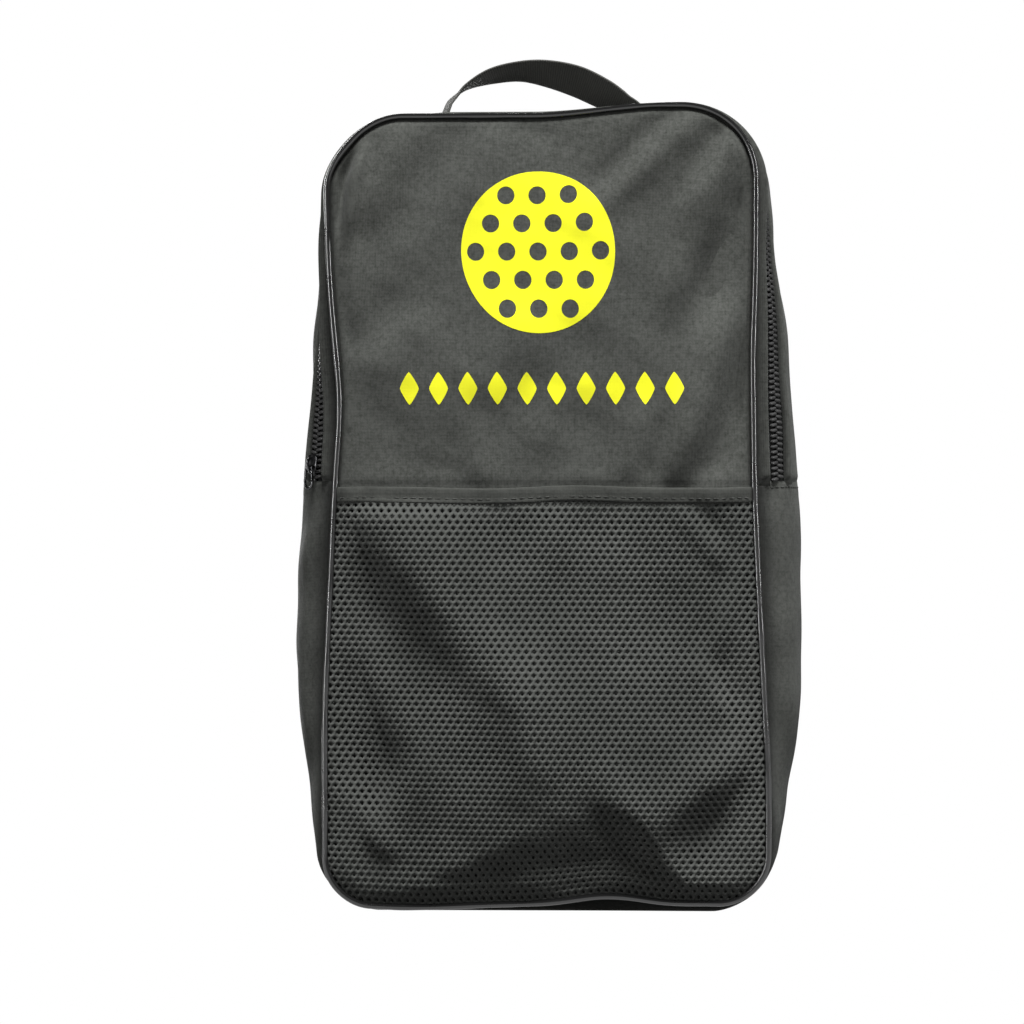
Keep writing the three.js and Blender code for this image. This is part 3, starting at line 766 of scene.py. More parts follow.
def build_back_panel():
    x, z = flat_panel(0.6)
    inside = smoothstep(edge_distance(x, z), 0, 10)
    uneven = 0.8 * slow(x + 90, z) + 0.35 * medium(x, z + 77) + 0.06 * fine(x, z)
    relief = BACK_PUFF * pillow(x, z) + inside * uneven
    relief = relief + inside * (
        fold(x, z, (-100, 350), (-40, 250), 10, 1.4) + fold(x, z, (30, 200), (98, 110), 12, 1.4)
        + ridge(x, z, (90, 380), (40, 300), 14, 1.6) + fold(x, z, (-40, 110), (-96, 30), 9, 1.3)
    )
    out = np.stack([x, OUTER_FACE + relief, z], -1)
    back = np.stack([x, PADDING_BACK + BACK_PUFF * pillow(x, z), z], -1)
    # painted shade beside the seam darkens the cloth's colour there
    seam_shade = shade_beside_seam(edge_distance(x, z), 2.0)
    obj = slab("back_panel_padded", settle(out), settle(back), np.stack([x, z], -1), seam_shade=seam_shade)
    finish_piece(obj, CLOTH, "cloth", "case", "back_panel", "back_foam")
    x, z = flat_panel(3)
    face = np.stack([x, LINING_FACE + BACK_PUFF * pillow(x, z) + 0.15 * medium(x, z), z], -1)
    obj = slab("back_lining_cloth", settle(face), settle(face - [0, 0.5, 0]), np.stack([x, z], -1))
    finish_piece(obj, LINING, "lining", "case", "back_lining")


# ---- Gusset and zip ----

COUNTS = (60, 30, 100)
GUSSET_EDGE = SEAM - PIPING + 0.4
LAP = 1.7  # how far the lower gusset's folded top edge covers the ends of the zip


def gusset_relief(length, across, seed, amount):
    ease = smoothstep(SEAM - np.abs(across), 0, 9)
    field = waves(seed, 55)
    small = waves(seed + 1, 21)
    return amount * ease * (field(length, across * 0.5) + 0.35 * small(length * 0.6, across))


def band(name, upper, height, columns, offset, thickness, relief=None, sharp=False, seam_shade=None):
    """A band of the gusset. offset is how far its outer face lies out from the cloth's line."""
    places, outs = sections(upper, height, COUNTS)
    columns = np.asarray(columns, float)
    at, direction = across_curve(places, outs, columns, sharp)
    length = arc_length(places[:, 3])
    s = np.broadcast_to(length[:, None], at.shape[:2])
    a = np.broadcast_to(columns[None, :], at.shape[:2])
    rise = np.zeros(at.shape[:2]) + offset
    if relief is not None:
        rise = rise + relief(s, a, at)
    outer = at + direction * rise[..., None]
    inner = outer - direction * thickness
    # painted shade across the band, when a shade function is given
    band_shade = None if seam_shade is None else seam_shade(columns)[None, :]
    return slab(name, settle(outer), settle(inner), np.stack([s, a], -1), seam_shade=band_shade), length[-1]


def lower_gusset_relief(s, a, at):
    x, z = at[..., 0], at[..., 2]
    side = smoothstep(np.abs(x), 60, 105)
    folded = gusset_relief(s, a, 31, 0.55) * side * smoothstep(z, 1, 30)
    lap = 0.25 * smoothstep(z, 205, 209) * side
    seam_fall = 2.0 * np.exp(-(((GUSSET_EDGE + 0.8 - np.abs(a)) / 3.4) ** 2))
    return folded + lap - seam_fall


def build_gusset():
    columns = np.linspace(-GUSSET_EDGE, GUSSET_EDGE, 44)
    # the lower gusset's colour gets painted shade for a few millimetres beside its seams
    obj, length = band(
        "lower_gusset_cloth", False, ZIP_END + LAP, columns, 0, 0.9, lower_gusset_relief,
        seam_shade=lambda a: 0.95 * shade_beside_seam(GUSSET_EDGE - np.abs(a), 6.0),
    )
    finish_piece(obj, CLOTH, "cloth", "case", "lower_gusset")
    columns = np.linspace(-24, 24, 14)
    obj, length = band("lower_gusset_lining_cloth", False, ZIP_END - 0.4, columns, -2.7, 0.5)
    finish_piece(obj, LINING, "lining", "case", "lower_gusset_lining")


def strip_relief(fold_at, side, seed):
    """A folded edge beside the zip: a rounded lip, a stitched groove behind it, then slack cloth."""

    def relief(s, a, at):
        inner = (a - fold_at) * side
        lip = 1.9 * np.exp(-(((inner - 2.7) / 1.8) ** 2)) - 0.9 * np.exp(-((inner / 0.7) ** 2))
        groove = -0.3 * np.exp(-(((inner - 4.9) / 0.8) ** 2))
        slack = gusset_relief(s, a, seed, 0.4) * smoothstep(inner, 4, 12)
        seam_fall = 1.9 * np.exp(-(((GUSSET_EDGE + 0.8 - np.abs(a)) / 2.2) ** 2))
        clear = smoothstep(at[..., 2], ZIP_END + LAP - 0.4, ZIP_END + LAP + 2.0)
        return lerp(-0.8, lip + groove + slack, clear) - seam_fall

    return relief


def strip_seam_shade(fold_at, side):
    """Painted shade on a zip strip: its colour is darkened beside its seam and under its folded edge, where
    shade falls.
    """

    def seam_shade(a):
        shade_under_fold = 0.75 * np.exp(-((((a - fold_at) * side) / 1.3) ** 2))
        return np.maximum(0.95 * shade_beside_seam(GUSSET_EDGE - np.abs(a), 3.6), shade_under_fold)

    return seam_shade


def build_strips():
    fold_at = ZIP_DEPTH - STRIP_EDGE + 0.5
    lip = np.linspace(fold_at - 3, fold_at, 9)
    columns = np.concatenate([np.linspace(-GUSSET_EDGE, lip[0], 12)[:-1], lip])
    obj, length = band(
        "front_zip_strip_cloth", True, ZIP_END - 0.4, columns, 0, 0.9, strip_relief(fold_at, -1, 41),
        sharp=True, seam_shade=strip_seam_shade(fold_at, -1),
    )
    finish_piece(obj, CLOTH, "cloth", "flap_and_case", "front_zip_strip")
    fold_at = ZIP_DEPTH + STRIP_EDGE - 0.5
    lip = np.linspace(fold_at, fold_at + 3, 9)
    columns = np.concatenate([lip[:-1], np.linspace(lip[-1], GUSSET_EDGE, 32)])
    obj, length = band(
        "back_zip_strip_cloth", True, ZIP_END - 0.4, columns, 0, 0.9, strip_relief(fold_at, 1, 47),
        seam_shade=strip_seam_shade(fold_at, 1),
    )
    finish_piece(obj, CLOTH, "cloth", "case", "back_zip_strip")


ZIP_PITCH = 2.7


def zip_line(height):
    """The middle line of the zip above a height, with its outward directions."""
    at, direction = across_curve(*sections(True, height, COUNTS), [ZIP_DEPTH], sharp=True)
    return settle(at[:, 0]), direction[:, 0]


def build_zip():
    for name, side, body in (("front", -1, "flap_and_case"), ("back", 1, "case")):
        columns = ZIP_DEPTH + side * np.linspace(0.15, 10.5, 10)
        obj, length = band(
            f"{name}_zip_tape_cloth", True, ZIP_END - 0.1, sorted(columns), -1.5, 0.5, sharp=True,
        )
        finish_piece(obj, TAPE, "zip_tape", body, f"{name}_zip_tape")

        line, out = zip_line(ZIP_END - 0.1)
        points, normal = spaced(line, ZIP_PITCH / 2, out)
        tangent = np.gradient(points, axis=0)
        tangent /= np.linalg.norm(tangent, axis=1)[:, None]
        normal /= np.linalg.norm(normal, axis=1)[:, None]
        beside = np.cross(tangent, normal)
        beside *= np.sign(beside[:, 1])[:, None]
        pick = slice(2 if side > 0 else 3, -2, 2)
        centres = points[pick] + side * beside[pick] * 1.9 + normal[pick] * (-0.3)
        slant = beside[pick] * side + tangent[pick] * 0.12
        obj = capsules(
            f"{name}_zip_coil", centres, slant, normal[pick], 5.1, 0.95, flat=1.0, sides=8, rings=7,
        )
        finish_piece(obj, COIL, "zip_teeth", body, f"{name}_zip_teeth")


def stitch_row(name, points, out, body, step=3.4, length=2.5, radius=0.3):
    """A row of separate stitches along a line on the cloth."""
    points, normal = spaced(points, step, out)
    tangent = np.gradient(points, axis=0)
    obj = capsules(name, points[1:-1], tangent[1:-1], normal[1:-1], length, radius, flat=0.8)
    return finish_piece(obj, THREAD, "cloth", body)


def build_stitches():
    for name, across, body in (
        ("front_strip_stitches", ZIP_DEPTH - STRIP_EDGE - 3.9, "flap_and_case"),
        ("back_strip_stitches", ZIP_DEPTH + STRIP_EDGE + 3.9, "case"),
    ):
        places, outs = sections(True, ZIP_END, COUNTS)
        at, direction = across_curve(places, outs, [across], sharp=name.startswith("front"))
        stitch_row(name, settle(at[:, 0] - direction[:, 0] * 0.1), direction[:, 0], body)
    # the row across each end of the zip
    across = np.linspace(-GUSSET_EDGE + 4, GUSSET_EDGE - 4, 40)
    places, outs = sections(False, ZIP_END - 1.3, COUNTS)
    at, direction = across_curve(places, outs, across)
    s = np.broadcast_to(arc_length(places[:, 3])[:, None], at.shape[:2])
    on_cloth = at + direction * (lower_gusset_relief(s, across[None, :], at) - 0.08)[..., None]
    for name, end in (("left_zip_end_stitches", 0), ("right_zip_end_stitches", -1)):
        stitch_row(name, settle(on_cloth[end]), direction[end], "case")


# ---- Seams ----


def seam_loop(y):
    """The seam's whole outline at a depth, as a closed line."""
    lower = whole("seam", False, COUNTS, FOLD)
    over = whole("seam", True, COUNTS, FOLD)
    loop = np.concatenate([lower, over[::-1][1:-1]])
    return np.stack([loop[:, 0], np.full(len(loop), y), loop[:, 1]], 1)


def build_seams():
    for name, y, body, replaced in (
        ("front_piping_cord", -SEAM - 0.3, "flap_and_case", ("front_piping_lower", "front_piping_upper")),
        ("back_piping_cord", SEAM + 0.3, "case", ("back_piping",)),
    ):
        path = settle(seam_loop(y))
        ripple = waves(5 if y < 0 else 6, 24)
        s = arc_length(path)
        # pulled thinner over the top
        radius = PIPING * (1 + 0.05 * ripple(s, s * 0)) * (1 - 0.22 * smoothstep(path[:, 2], 366, 390))
        obj = closed_cord(name, path, radius)
        finish_piece(obj, VINYL, "piping", body, *replaced)
    for name, upper, height, side, body in (
        ("front_binding_lower_tape", False, ZIP_END - 0.6, -1, "case"),
        ("front_binding_upper_tape", True, ZIP_END + 0.6, -1, "flap"),
        ("back_binding_lower_tape", False, ZIP_END - 0.6, 1, "case"),
        ("back_binding_upper_tape", True, ZIP_END + 0.6, 1, "case"),
    ):
        folded_tape(name, upper, height, side, body)


def folded_tape(name, upper, height, side, body):
    """A narrow tape folded round the raw edges inside a seam, open towards the seam."""
    turn = np.linspace(math.pi / 2, -math.pi / 2, 7)
    places, outs = sections(upper, height, COUNTS)

    def section(radius):
        """Places across the gusset and away from it, round a fold of a radius."""
        across = np.concatenate([[30.8, 27.5], 24.9 - radius * np.cos(turn), [27.5, 30.8]])
        away = np.concatenate([[radius] * 2, radius * np.sin(turn), [-radius] * 2]) - 3.1
        return across, away

    def surface(across, away):
        at, direction = across_curve(places, outs, side * across)
        return at + direction * away[None, :, None]

    reach, offset = section(0.55)
    outer, inner = surface(reach, offset), surface(*section(0.25))
    length = arc_length(places[:, 3])
    width = np.concatenate([[0], np.cumsum(np.hypot(np.diff(reach), np.diff(offset)))])
    cloth = np.stack(np.broadcast_arrays(length[:, None], width[None, :]), -1)
    obj = slab(name, settle(outer), settle(inner), cloth)
    finish_piece(obj, LINING, "lining", body, name.replace("_tape", ""))


# ---- Net pocket ----

NET_PITCH, NET_ROW = 3.8, 2.9  # spacing of the holes along a row, and of the rows
NET_CUT = 230  # the holes are laid out over this width and then cut to the seam
NET_HALF_THICK = 0.32


def net_surface(x, z):
    out = OUTER_FACE + front_relief(x, z) + net_relief(x, z)
    return np.stack([x, -out, z], -1)


def build_net():
    top = HEM_TOP - HEM_HEIGHT + 1.2
    rows = int((top - SEAM_BOTTOM) / NET_ROW) + 1
    columns = int(NET_CUT / NET_PITCH)
    j, i = np.meshgrid(np.arange(rows + 1), np.arange(-columns // 2, columns // 2 + 1), indexing="ij")
    cx = (i + 0.5 * (j % 2)) * NET_PITCH
    cz = top - j * NET_ROW
    cx, cz = cx.ravel(), cz.ravel()
    keep = edge_distance(cx, cz) > -0.6
    cx, cz = cx[keep], cz[keep]
    # a cell's corners: its tips above and below, and its shoulders at the sides
    half = NET_PITCH / 2
    tip = (half**2 + NET_ROW**2) / (2 * NET_ROW)
    shoulder = tip - half**2 / NET_ROW
    corners = np.array([
        (0, tip), (half, shoulder), (half, -shoulder), (0, -tip), (-half, -shoulder), (-half, shoulder),
    ])
    hole = corners * [0.37, 0.39]
    outer = np.stack([cx, cz], 1)[:, None] + corners
    inner = np.stack([cx, cz], 1)[:, None] + hole
    count = len(cx)
    flat = np.concatenate([outer.reshape(-1, 2), outer.reshape(-1, 2), inner.reshape(-1, 2)])
    lift = np.repeat([NET_HALF_THICK, -NET_HALF_THICK, 0], count * 6)
    # keep the sewn edge inside the seam's outline
    z = np.clip(flat[:, 1], SEAM_BOTTOM + 0.4, top)
    for _ in range(2):
        d = edge_distance(flat[:, 0], z)
        short = np.clip(0.3 - d, 0, None)
        flat[:, 0] -= np.sign(flat[:, 0]) * short
    place = net_surface(flat[:, 0], z)
    ex = net_surface(flat[:, 0] + 0.5, z) - net_surface(flat[:, 0] - 0.5, z)
    ez = net_surface(flat[:, 0], z + 0.5) - net_surface(flat[:, 0], z - 0.5)
    normal = np.cross(ex, ez)
    normal /= np.linalg.norm(normal, axis=1)[:, None]
    place = place + normal * lift[:, None]
    n = count * 6
    base = np.arange(count)[:, None] * 6
    faces = []
    for k in range(6):
        m = (k + 1) % 6
        faces.append(np.concatenate([base + k, base + m, base + m + 2 * n, base + k + 2 * n], 1))
        faces.append(np.concatenate([base + m + n, base + k + n, base + k + 2 * n, base + m + 2 * n], 1))
    # the outermost cells are closed from front to back along their free edges
    owners = {}
    for cell in range(count):
        for k in range(6):
            ends = cell * 6 + k, cell * 6 + (k + 1) % 6
            key = frozenset((round(float(flat[e, 0]), 1), round(float(flat[e, 1]), 1)) for e in ends)
            owners.setdefault(key, []).append(ends)
    rim = [(b, a, a + n, b + n) for ends in owners.values() if len(ends) == 1 for a, b in ends]
    faces.append(np.array(rim))
    obj = to_mesh("net_pocket_net", settle(place), np.concatenate(faces), flat)
    bm = bmesh.new()
    bm.from_mesh(obj.data)
    bmesh.ops.remove_doubles(bm, verts=bm.verts, dist=0.00004)
    bm.to_mesh(obj.data)
    bm.free()
    facing_out(obj)
    finish_piece(obj, NET, "net", "case", "net_pocket")
    return obj


def build_hem():
    """The net's folded cloth edge, with a row of stitches near its lower edge."""
    low, high = HEM_TOP - HEM_HEIGHT, HEM_TOP
    # profile of the folded strip: height along it, and how far it stands out
    heights = np.array([
        low, low - 0.3, low + 0.1, low + 1.2, low + 2.2, low + 3.6, high - 1.2, high - 0.3, high, high - 0.4,
    ])
    proud = np.array([0.0, 0.5, 0.95, 0.9, 0.7, 0.95, 0.85, 0.75, 0.5, 0.0])
    half = float(seam_half(207)) - 0.8
    x = np.linspace(-half, half, 150)
    pucker = waves(71, 17)
    xx = np.broadcast_to(x[:, None], (len(x), len(heights)))
    wave = 0.5 * slow(xx + 50, xx * 0) * smoothstep(half - np.abs(xx), 0, 20)
    zz = heights[None, :] + wave
    base = net_surface(xx, zz)
    base[..., 1] -= proud[None, :] + 0.12 * pucker(xx, zz * 2)
    inner = net_surface(xx, zz)
    inner[..., 1] += 0.25
    obj = slab("net_pocket_hem_cloth", settle(base), settle(inner), np.stack([xx, zz], -1))
    finish_piece(obj, HEM, "cloth", "case", "net_pocket_hem")
    z = low + 2.0 + wave[:, 0]
    line = net_surface(x, z)
    line[:, 1] -= 0.85
    out = np.tile([0.0, -1.0, 0.0], (len(x), 1))
    stitches = stitch_row(
        "net_pocket_hem_stitches", settle(line), out, "case", step=4.2, length=3.0, radius=0.34,
    )
    return obj, stitches


# ---- Handle ----

# place along the top, rise over it, and turn about the strap's own length in degrees
ARCH = np.array([
    (-73, 0.9, 0), (-64, 0.9, 0), (-58.5, 0.9, -7), (-54.2, 1.7, -12), (-48.2, 8.2, -9), (-42, 14.0, 0),
    (-30, 19.3, 12), (-16, 21.8, 18.5), (-2, 20.7, 28), (13.6, 16.4, 35), (27.2, 9.8, 33.5),
    (36.2, 5.0, 25.5), (42.5, 3.1, 17), (48, 1.2, 9), (54, 0.9, 0), (61, 0.9, 0),
])
STRAP_DEPTH = 15
STRAP_LEAN = math.tan(math.radians(25))
STRAP_HALF_WIDTH, STRAP_HALF_THICK = 12.3, 0.8


def catmull_rom(a, b, c, d, t):
    """A place between b and c on a smooth curve through four points."""
    return 0.5 * (2 * b + (c - a) * t + (2 * a - 5 * b + 4 * c - d) * t**2 + (3 * b - a - 3 * c + d) * t**3)


def smooth_path(points, count):
    """A smooth curve through points of any width."""
    p = np.concatenate([[2 * points[0] - points[1]], points, [2 * points[-1] - points[-2]]])
    s = np.linspace(0, len(points) - 1, count)
    i = np.minimum(s.astype(int), len(points) - 2)
    return catmull_rom(p[i], p[i + 1], p[i + 2], p[i + 3], (s - i)[:, None])


def smooth_loop(points, per=4):
    """A smooth closed curve through points."""
    n = len(points)
    curve = []
    for i in range(n):
        around = [points[(i + k) % n] for k in (-1, 0, 1, 2)]
        curve += [catmull_rom(*around, t) for t in np.arange(per) / per]
    return np.array(curve)


def build_handle():
    path = smooth_path(ARCH, 140)
    x, rise = path[:, 0], np.maximum(path[:, 1], 0.85)
    turn = np.radians(path[:, 2])
    free = smoothstep(rise, 1, 6)
    depth = STRAP_DEPTH + np.clip(rise - 1, 0, None) * STRAP_LEAN
    centre = np.stack([x, depth, TOP + rise + top_droop(x) * (1 - free)], 1)
    along = np.gradient(centre, axis=0)
    along[:, 1] = 0
    along /= np.linalg.norm(along, axis=1)[:, None]
    outward = np.stack([-along[:, 2], along[:, 1] * 0, along[:, 0]], 1)
    wide = np.array([0, 1.0, 0]) * np.cos(turn)[:, None] - outward * np.sin(turn)[:, None]
    thick = np.cross(along, wide)
    thick *= np.sign((thick * outward).sum(1))[:, None]
    # the section: a flat strap with rounded edges
    steps = np.linspace(-1, 1, 15)
    face = np.stack([STRAP_HALF_WIDTH * steps, STRAP_HALF_THICK * (1 - 0.55 * np.abs(steps) ** 6)], 1)
    section = np.concatenate([face, face[::-1] * [1, -1]])
    length = arc_length(centre)
    ring = centre[:, None] + wide[:, None] * section[None, :, :1] + thick[:, None] * section[None, :, 1:]
    cloth = np.stack(np.broadcast_arrays(length[:, None], section[None, :, 0]), -1)
    obj = to_mesh("handle_webbing", ring, ring_faces(*ring.shape[:2]), cloth)
    facing_out(obj)
    finish_piece(
        obj, WEBBING, "webbing", "handle_and_case", "handle_strap", "handle_end_left", "handle_end_right",
    )


def build_handle_stitches():
    """A stitched box with a cross in it on each end of the strap."""
    centres, tangents = [], []
    for left, right in ((-71, -60), (46, 57)):
        corners = np.array([(left, 6), (left, 24), (right, 6), (right, 24)], float)
        for start, end in ((0, 1), (2, 3), (0, 2), (1, 3), (0, 3), (1, 2)):
            run = corners[end] - corners[start]
            count = max(2, int(np.linalg.norm(run) / 2.6))
            for t in (np.arange(count) + 0.5) / count:
                x, y = corners[start] + run * t
                centres.append((x, y, TOP + 1.75 + float(top_droop(x))))
                tangents.append((*run, 0))
    out = np.tile([0, 0, 1.0], (len(centres), 1))
    obj = capsules("handle_stitches", centres, tangents, out, 2.0, 0.3, flat=0.8)
    finish_piece(obj, THREAD, "webbing", "case")


# ---- Slider and pull ----


def zip_axes():
    """The zip's frame at the slider: its place, and the directions out of, across and along the zip."""
    along = np.array([math.sin(ZIP_SLANT), 0, math.cos(ZIP_SLANT)])
    sideways = np.array([-math.cos(ZIP_SLANT), 0, math.sin(ZIP_SLANT)])
    out = sideways * math.cos(ZIP_TILT) + np.array([0, -1, 0]) * math.sin(ZIP_TILT)
    across = np.array([0, 1, 0]) * math.cos(ZIP_TILT) + sideways * math.sin(ZIP_TILT)
    origin = np.array([-float(zip_half(SLIDER_HEIGHT)), ZIP_DEPTH, SLIDER_HEIGHT])
    return origin, out, across, along


def plate_outline(widths, count=8):
    """A closed outline from (half width, along) pairs, rounded by a smooth curve."""
    right = smooth_path(np.array(widths, float), count * (len(widths) - 1) + 1)
    left = right[::-1] * [-1, 1]
    return np.concatenate([right, left[1:-1]])


def plate(name, outline, low, high, bevel):
    """A rounded plate with a bevelled rim, its outline across and along the zip, between two heights."""
    origin, out, across, along = zip_axes()
    centre = outline.mean(0)
    reach = np.maximum(np.linalg.norm(outline - centre, axis=1), 1e-6)
    wide, slight = bevel * 2.2, bevel * 0.4
    rings = []
    for inset, height in (
        (wide, low), (slight, low + slight), (0, low + bevel),
        (0, high - bevel), (slight, high - slight), (wide, high),
    ):
        ring = centre + (outline - centre) * (1 - inset / reach)[:, None]
        rings.append(origin + out * height + across * ring[:, :1] + along * ring[:, 1:])
    obj = to_mesh(name, np.concatenate(rings), ring_faces(len(rings), len(outline)))
    facing_out(obj)
    return obj


def wire(name, points, radius, closed=False, sides=10):
    """A round wire along points in the zip's frame: height over it, place across it and along it."""
    origin, out, across, along = zip_axes()
    p = np.array(points, float)
    path = origin + p[:, :1] * out + p[:, 1:2] * across + p[:, 2:] * along
    ahead = (np.roll(path, -1, 0) - np.roll(path, 1, 0)) if closed else np.gradient(path, axis=0)
    ahead /= np.linalg.norm(ahead, axis=1)[:, None]
    side = np.cross(ahead[0], out if abs(ahead[0] @ out) < 0.9 else across)
    turn = np.linspace(0, 2 * math.pi, sides, endpoint=False)
    rings = []
    for place, direction in zip(path, ahead):
        side = side - (side @ direction) * direction
        side /= np.linalg.norm(side)
        up = np.cross(direction, side)
        rings.append(place + radius * (np.outer(np.cos(turn), side) + np.outer(np.sin(turn), up)))
    obj = to_mesh(name, np.concatenate(rings), ring_faces(len(rings), sides, closed))
    facing_out(obj)
    return obj


def join(objects, name):
    bpy.ops.object.select_all(action="DESELECT")
    for o in objects:
        o.select_set(True)
    bpy.context.view_layer.objects.active = objects[0]
    bpy.ops.object.join()
    objects[0].name = name
    return objects[0]


def build_slider():
    shape = plate_outline([(0, 5.0), (2.4, 4.9), (3.9, 3.6), (3.7, 0.5), (2.9, -2.6), (2.5, -4.6), (0, -5.0)])
    bottom = plate("slider_bottom", shape, -3.7, -2.5, 0.35)
    top = plate("slider_top", shape, 1.35, 2.5, 0.4)
    arch = [(2.9 + 2.2 * math.sin(t) ** 0.7, 0, 3.1 * math.cos(t)) for t in np.linspace(math.pi, 0, 15)]
    bail = wire("slider_bail", [(2.3, 0, -3.1), *arch, (2.3, 0, 3.1)], 0.75)
    post = wire("slider_post", [(-2.6, 0, 3.6), (0, 0, 3.6), (1.5, 0, 3.6)], 0.45)
    obj = join([top, bottom, bail, post], "zip_slider_body")
    finish_piece(obj, METAL, "metal", "slider", "zip_slider")


def build_pull():
    """A long ring that hangs from the slider's bail."""
    height, hang = 3.9, -1.2
    top = [(-2.2, 0.0), (-1.1, 0.05), (0, 0.08), (1.1, 0.05)]
    right = [(2.2, 0.0), (2.5, -1.0), (2.4, -3.0), (2.7, -5.0), (3.1, -7.0), (2.6, -9.2), (1.4, -10.4)]
    outline = top + right + [(0, -10.8)] + [(-across, down) for across, down in right[::-1]]
    loop = np.array([(height, across, hang + down) for across, down in outline])
    ring = wire("pull_ring", smooth_loop(loop), 0.68, closed=True)
    finish_piece(ring, METAL, "metal", "pull", "zip_pull")


# ---- Print ----


def on_panel(x, z, proud):
    return np.stack([x, -(OUTER_FACE + front_relief(x, z) + proud), z], -1)


INK_TOP, INK_UNDER = 0.13, -0.1  # the ink's faces, out from the cloth's


def printed(name, cells):
    """Thin ink shapes on the front panel. cells is a list of (grid of x, grid of z) patches."""
    verts, faces, cloth = [], [], []
    total = 0
    for x, z in cells:
        rows, columns = x.shape
        outer, inner = on_panel(x, z, INK_TOP), on_panel(x, z, INK_UNDER)
        n = rows * columns
        verts += [outer.reshape(-1, 3), inner.reshape(-1, 3)]
        cloth += [np.stack([x, z], -1).reshape(-1, 2)] * 2
        faces.append(grid_faces(rows, columns, total))
        faces.append(grid_faces(rows, columns, total + n, flip=True))
        loop = np.concatenate([
            np.arange(columns), np.arange(1, rows) * columns + columns - 1,
            (rows - 1) * columns + np.arange(columns - 2, -1, -1), np.arange(rows - 2, 0, -1) * columns,
        ])
        # the rim has points of its own, so that the shape's face shades evenly up to its edge
        rim = len(loop)
        verts += [outer.reshape(-1, 3)[loop], inner.reshape(-1, 3)[loop]]
        cloth += [np.stack([x, z], -1).reshape(-1, 2)[loop]] * 2
        around = np.arange(rim)
        ahead = (around + 1) % rim
        faces.append(np.stack([around, ahead, ahead + rim, around + rim], 1) + total + 2 * n)
        total += 2 * n + 2 * rim
    obj = to_mesh(name, settle(np.concatenate(verts)), np.concatenate(faces), np.concatenate(cloth))
    return finish_piece(obj, PRINT, "cloth", "flap")


DISC = {"x": -2.2, "z": 327.6, "radius": 38.2, "hole": 4.3, "pitch": 15.5, "tall": 1.07}


def circle(cx, cz, radius, count):
    turn = np.linspace(0, 2 * math.pi, count, endpoint=False)
    return np.stack([cx + radius * np.cos(turn), cz + radius * np.sin(turn)], 1)


def disc_mesh():
    """A disc with a regular lattice of round holes: places (x, z), small triangles and the rims' edges."""
    loops = [circle(0, 0, DISC["radius"], 120)]
    for row in range(-2, 3):
        count = 5 - abs(row)
        for k in range(count):
            hole = (k - (count - 1) / 2) * DISC["pitch"], row * DISC["pitch"] * math.sqrt(3) / 2
            loops.append(circle(*hole, DISC["hole"], 28))
    bm = bmesh.new()
    edges = []
    for loop in loops:
        ring = [bm.verts.new((x, 0, z)) for x, z in loop]
        edges += [bm.edges.new((ring[i], ring[(i + 1) % len(ring)])) for i in range(len(ring))]
    bmesh.ops.triangle_fill(bm, use_beauty=True, use_dissolve=False, edges=edges)
    for _ in range(2):
        long_edges = [e for e in bm.edges if e.calc_length() > 4.0 and not e.is_boundary]
        bmesh.ops.subdivide_edges(bm, edges=long_edges, cuts=1)
        bmesh.ops.triangulate(bm, faces=bm.faces)
    # cut along a grid of lines, so that the triangles are small enough to follow the cloth
    for step in (-3, -2, -1, 0, 1, 2, 3, 4, -4, 5, -5, 6, -6):
        for axis in ((1, 0, 0), (0, 0, 1)):
            geometry = bm.verts[:] + bm.edges[:] + bm.faces[:]
            point = Vector(axis) * step * 6.3
            bmesh.ops.bisect_plane(bm, geom=geometry, plane_co=point, plane_no=Vector(axis), dist=0.02)
    bmesh.ops.triangulate(bm, faces=bm.faces)
    bm.verts.ensure_lookup_table()
    flat = np.array([(v.co.x + DISC["x"], v.co.z * DISC["tall"] + DISC["z"]) for v in bm.verts])
    faces = np.array([[v.index for v in f.verts] for f in bm.faces])
    rim = np.array([[v.index for v in e.verts] for e in bm.edges if e.is_boundary])
    bm.free()
    # turn the faces alike
    a, b, c = flat[faces[:, 0]], flat[faces[:, 1]], flat[faces[:, 2]]
    area = (b[:, 0] - a[:, 0]) * (c[:, 1] - a[:, 1]) - (b[:, 1] - a[:, 1]) * (c[:, 0] - a[:, 0])
    faces[area < 0] = faces[area < 0][:, ::-1]
    return flat, faces, rim


def build_disc():
    flat, faces, rim = disc_mesh()
    n = len(flat)
    top, under = on_panel(*flat.T, INK_TOP), on_panel(*flat.T, INK_UNDER)
    # the rims have points of their own, so that the disc's face shades evenly up to its edges
    first, last = rim.T
    wall_points = np.stack([top[first], top[last], under[last], under[first]], 1)
    wall_flat = np.repeat(flat[rim], 2, axis=1)
    walls = 2 * n + np.arange(4 * len(rim)).reshape(-1, 4)
    every = [list(f) for f in (*faces, *(faces[:, ::-1] + n), *walls)]
    points = np.concatenate([top, under, wall_points.reshape(-1, 3)])
    cloth = np.concatenate([flat, flat, wall_flat.reshape(-1, 2)])
    obj = to_mesh("front_print_disc", settle(points), every, cloth)
    facing_out(obj)
    finish_piece(obj, PRINT, "cloth", "flap")


def build_lozenges():
    """A row of plain lozenges."""
    left, right, low, high = -72.5, 69.5, 250.5, 268.5
    count, wide = 10, 10.5
    cells = []
    for k in range(count):
        middle = left + wide / 2 + k * (right - left - wide) / (count - 1)
        cells.append(lozenge(middle, (low + high) / 2, wide / 2, (high - low) / 2))
    facing_out(printed("front_print_lozenges", cells))


def lozenge(cx, cz, half_width, half_height, steps=9):
    """A grid over a lozenge with slightly rounded corners."""
    s = np.linspace(-1, 1, steps)
    a, b = np.meshgrid(s, s, indexing="ij")
    x, z = (a - b) / 2, (a + b) / 2
    soft = 1 - 0.10 * (np.maximum(np.abs(x), np.abs(z)) ** 6)
    return cx + x * soft * half_width, cz + z * soft * half_height


# ---- Build ----

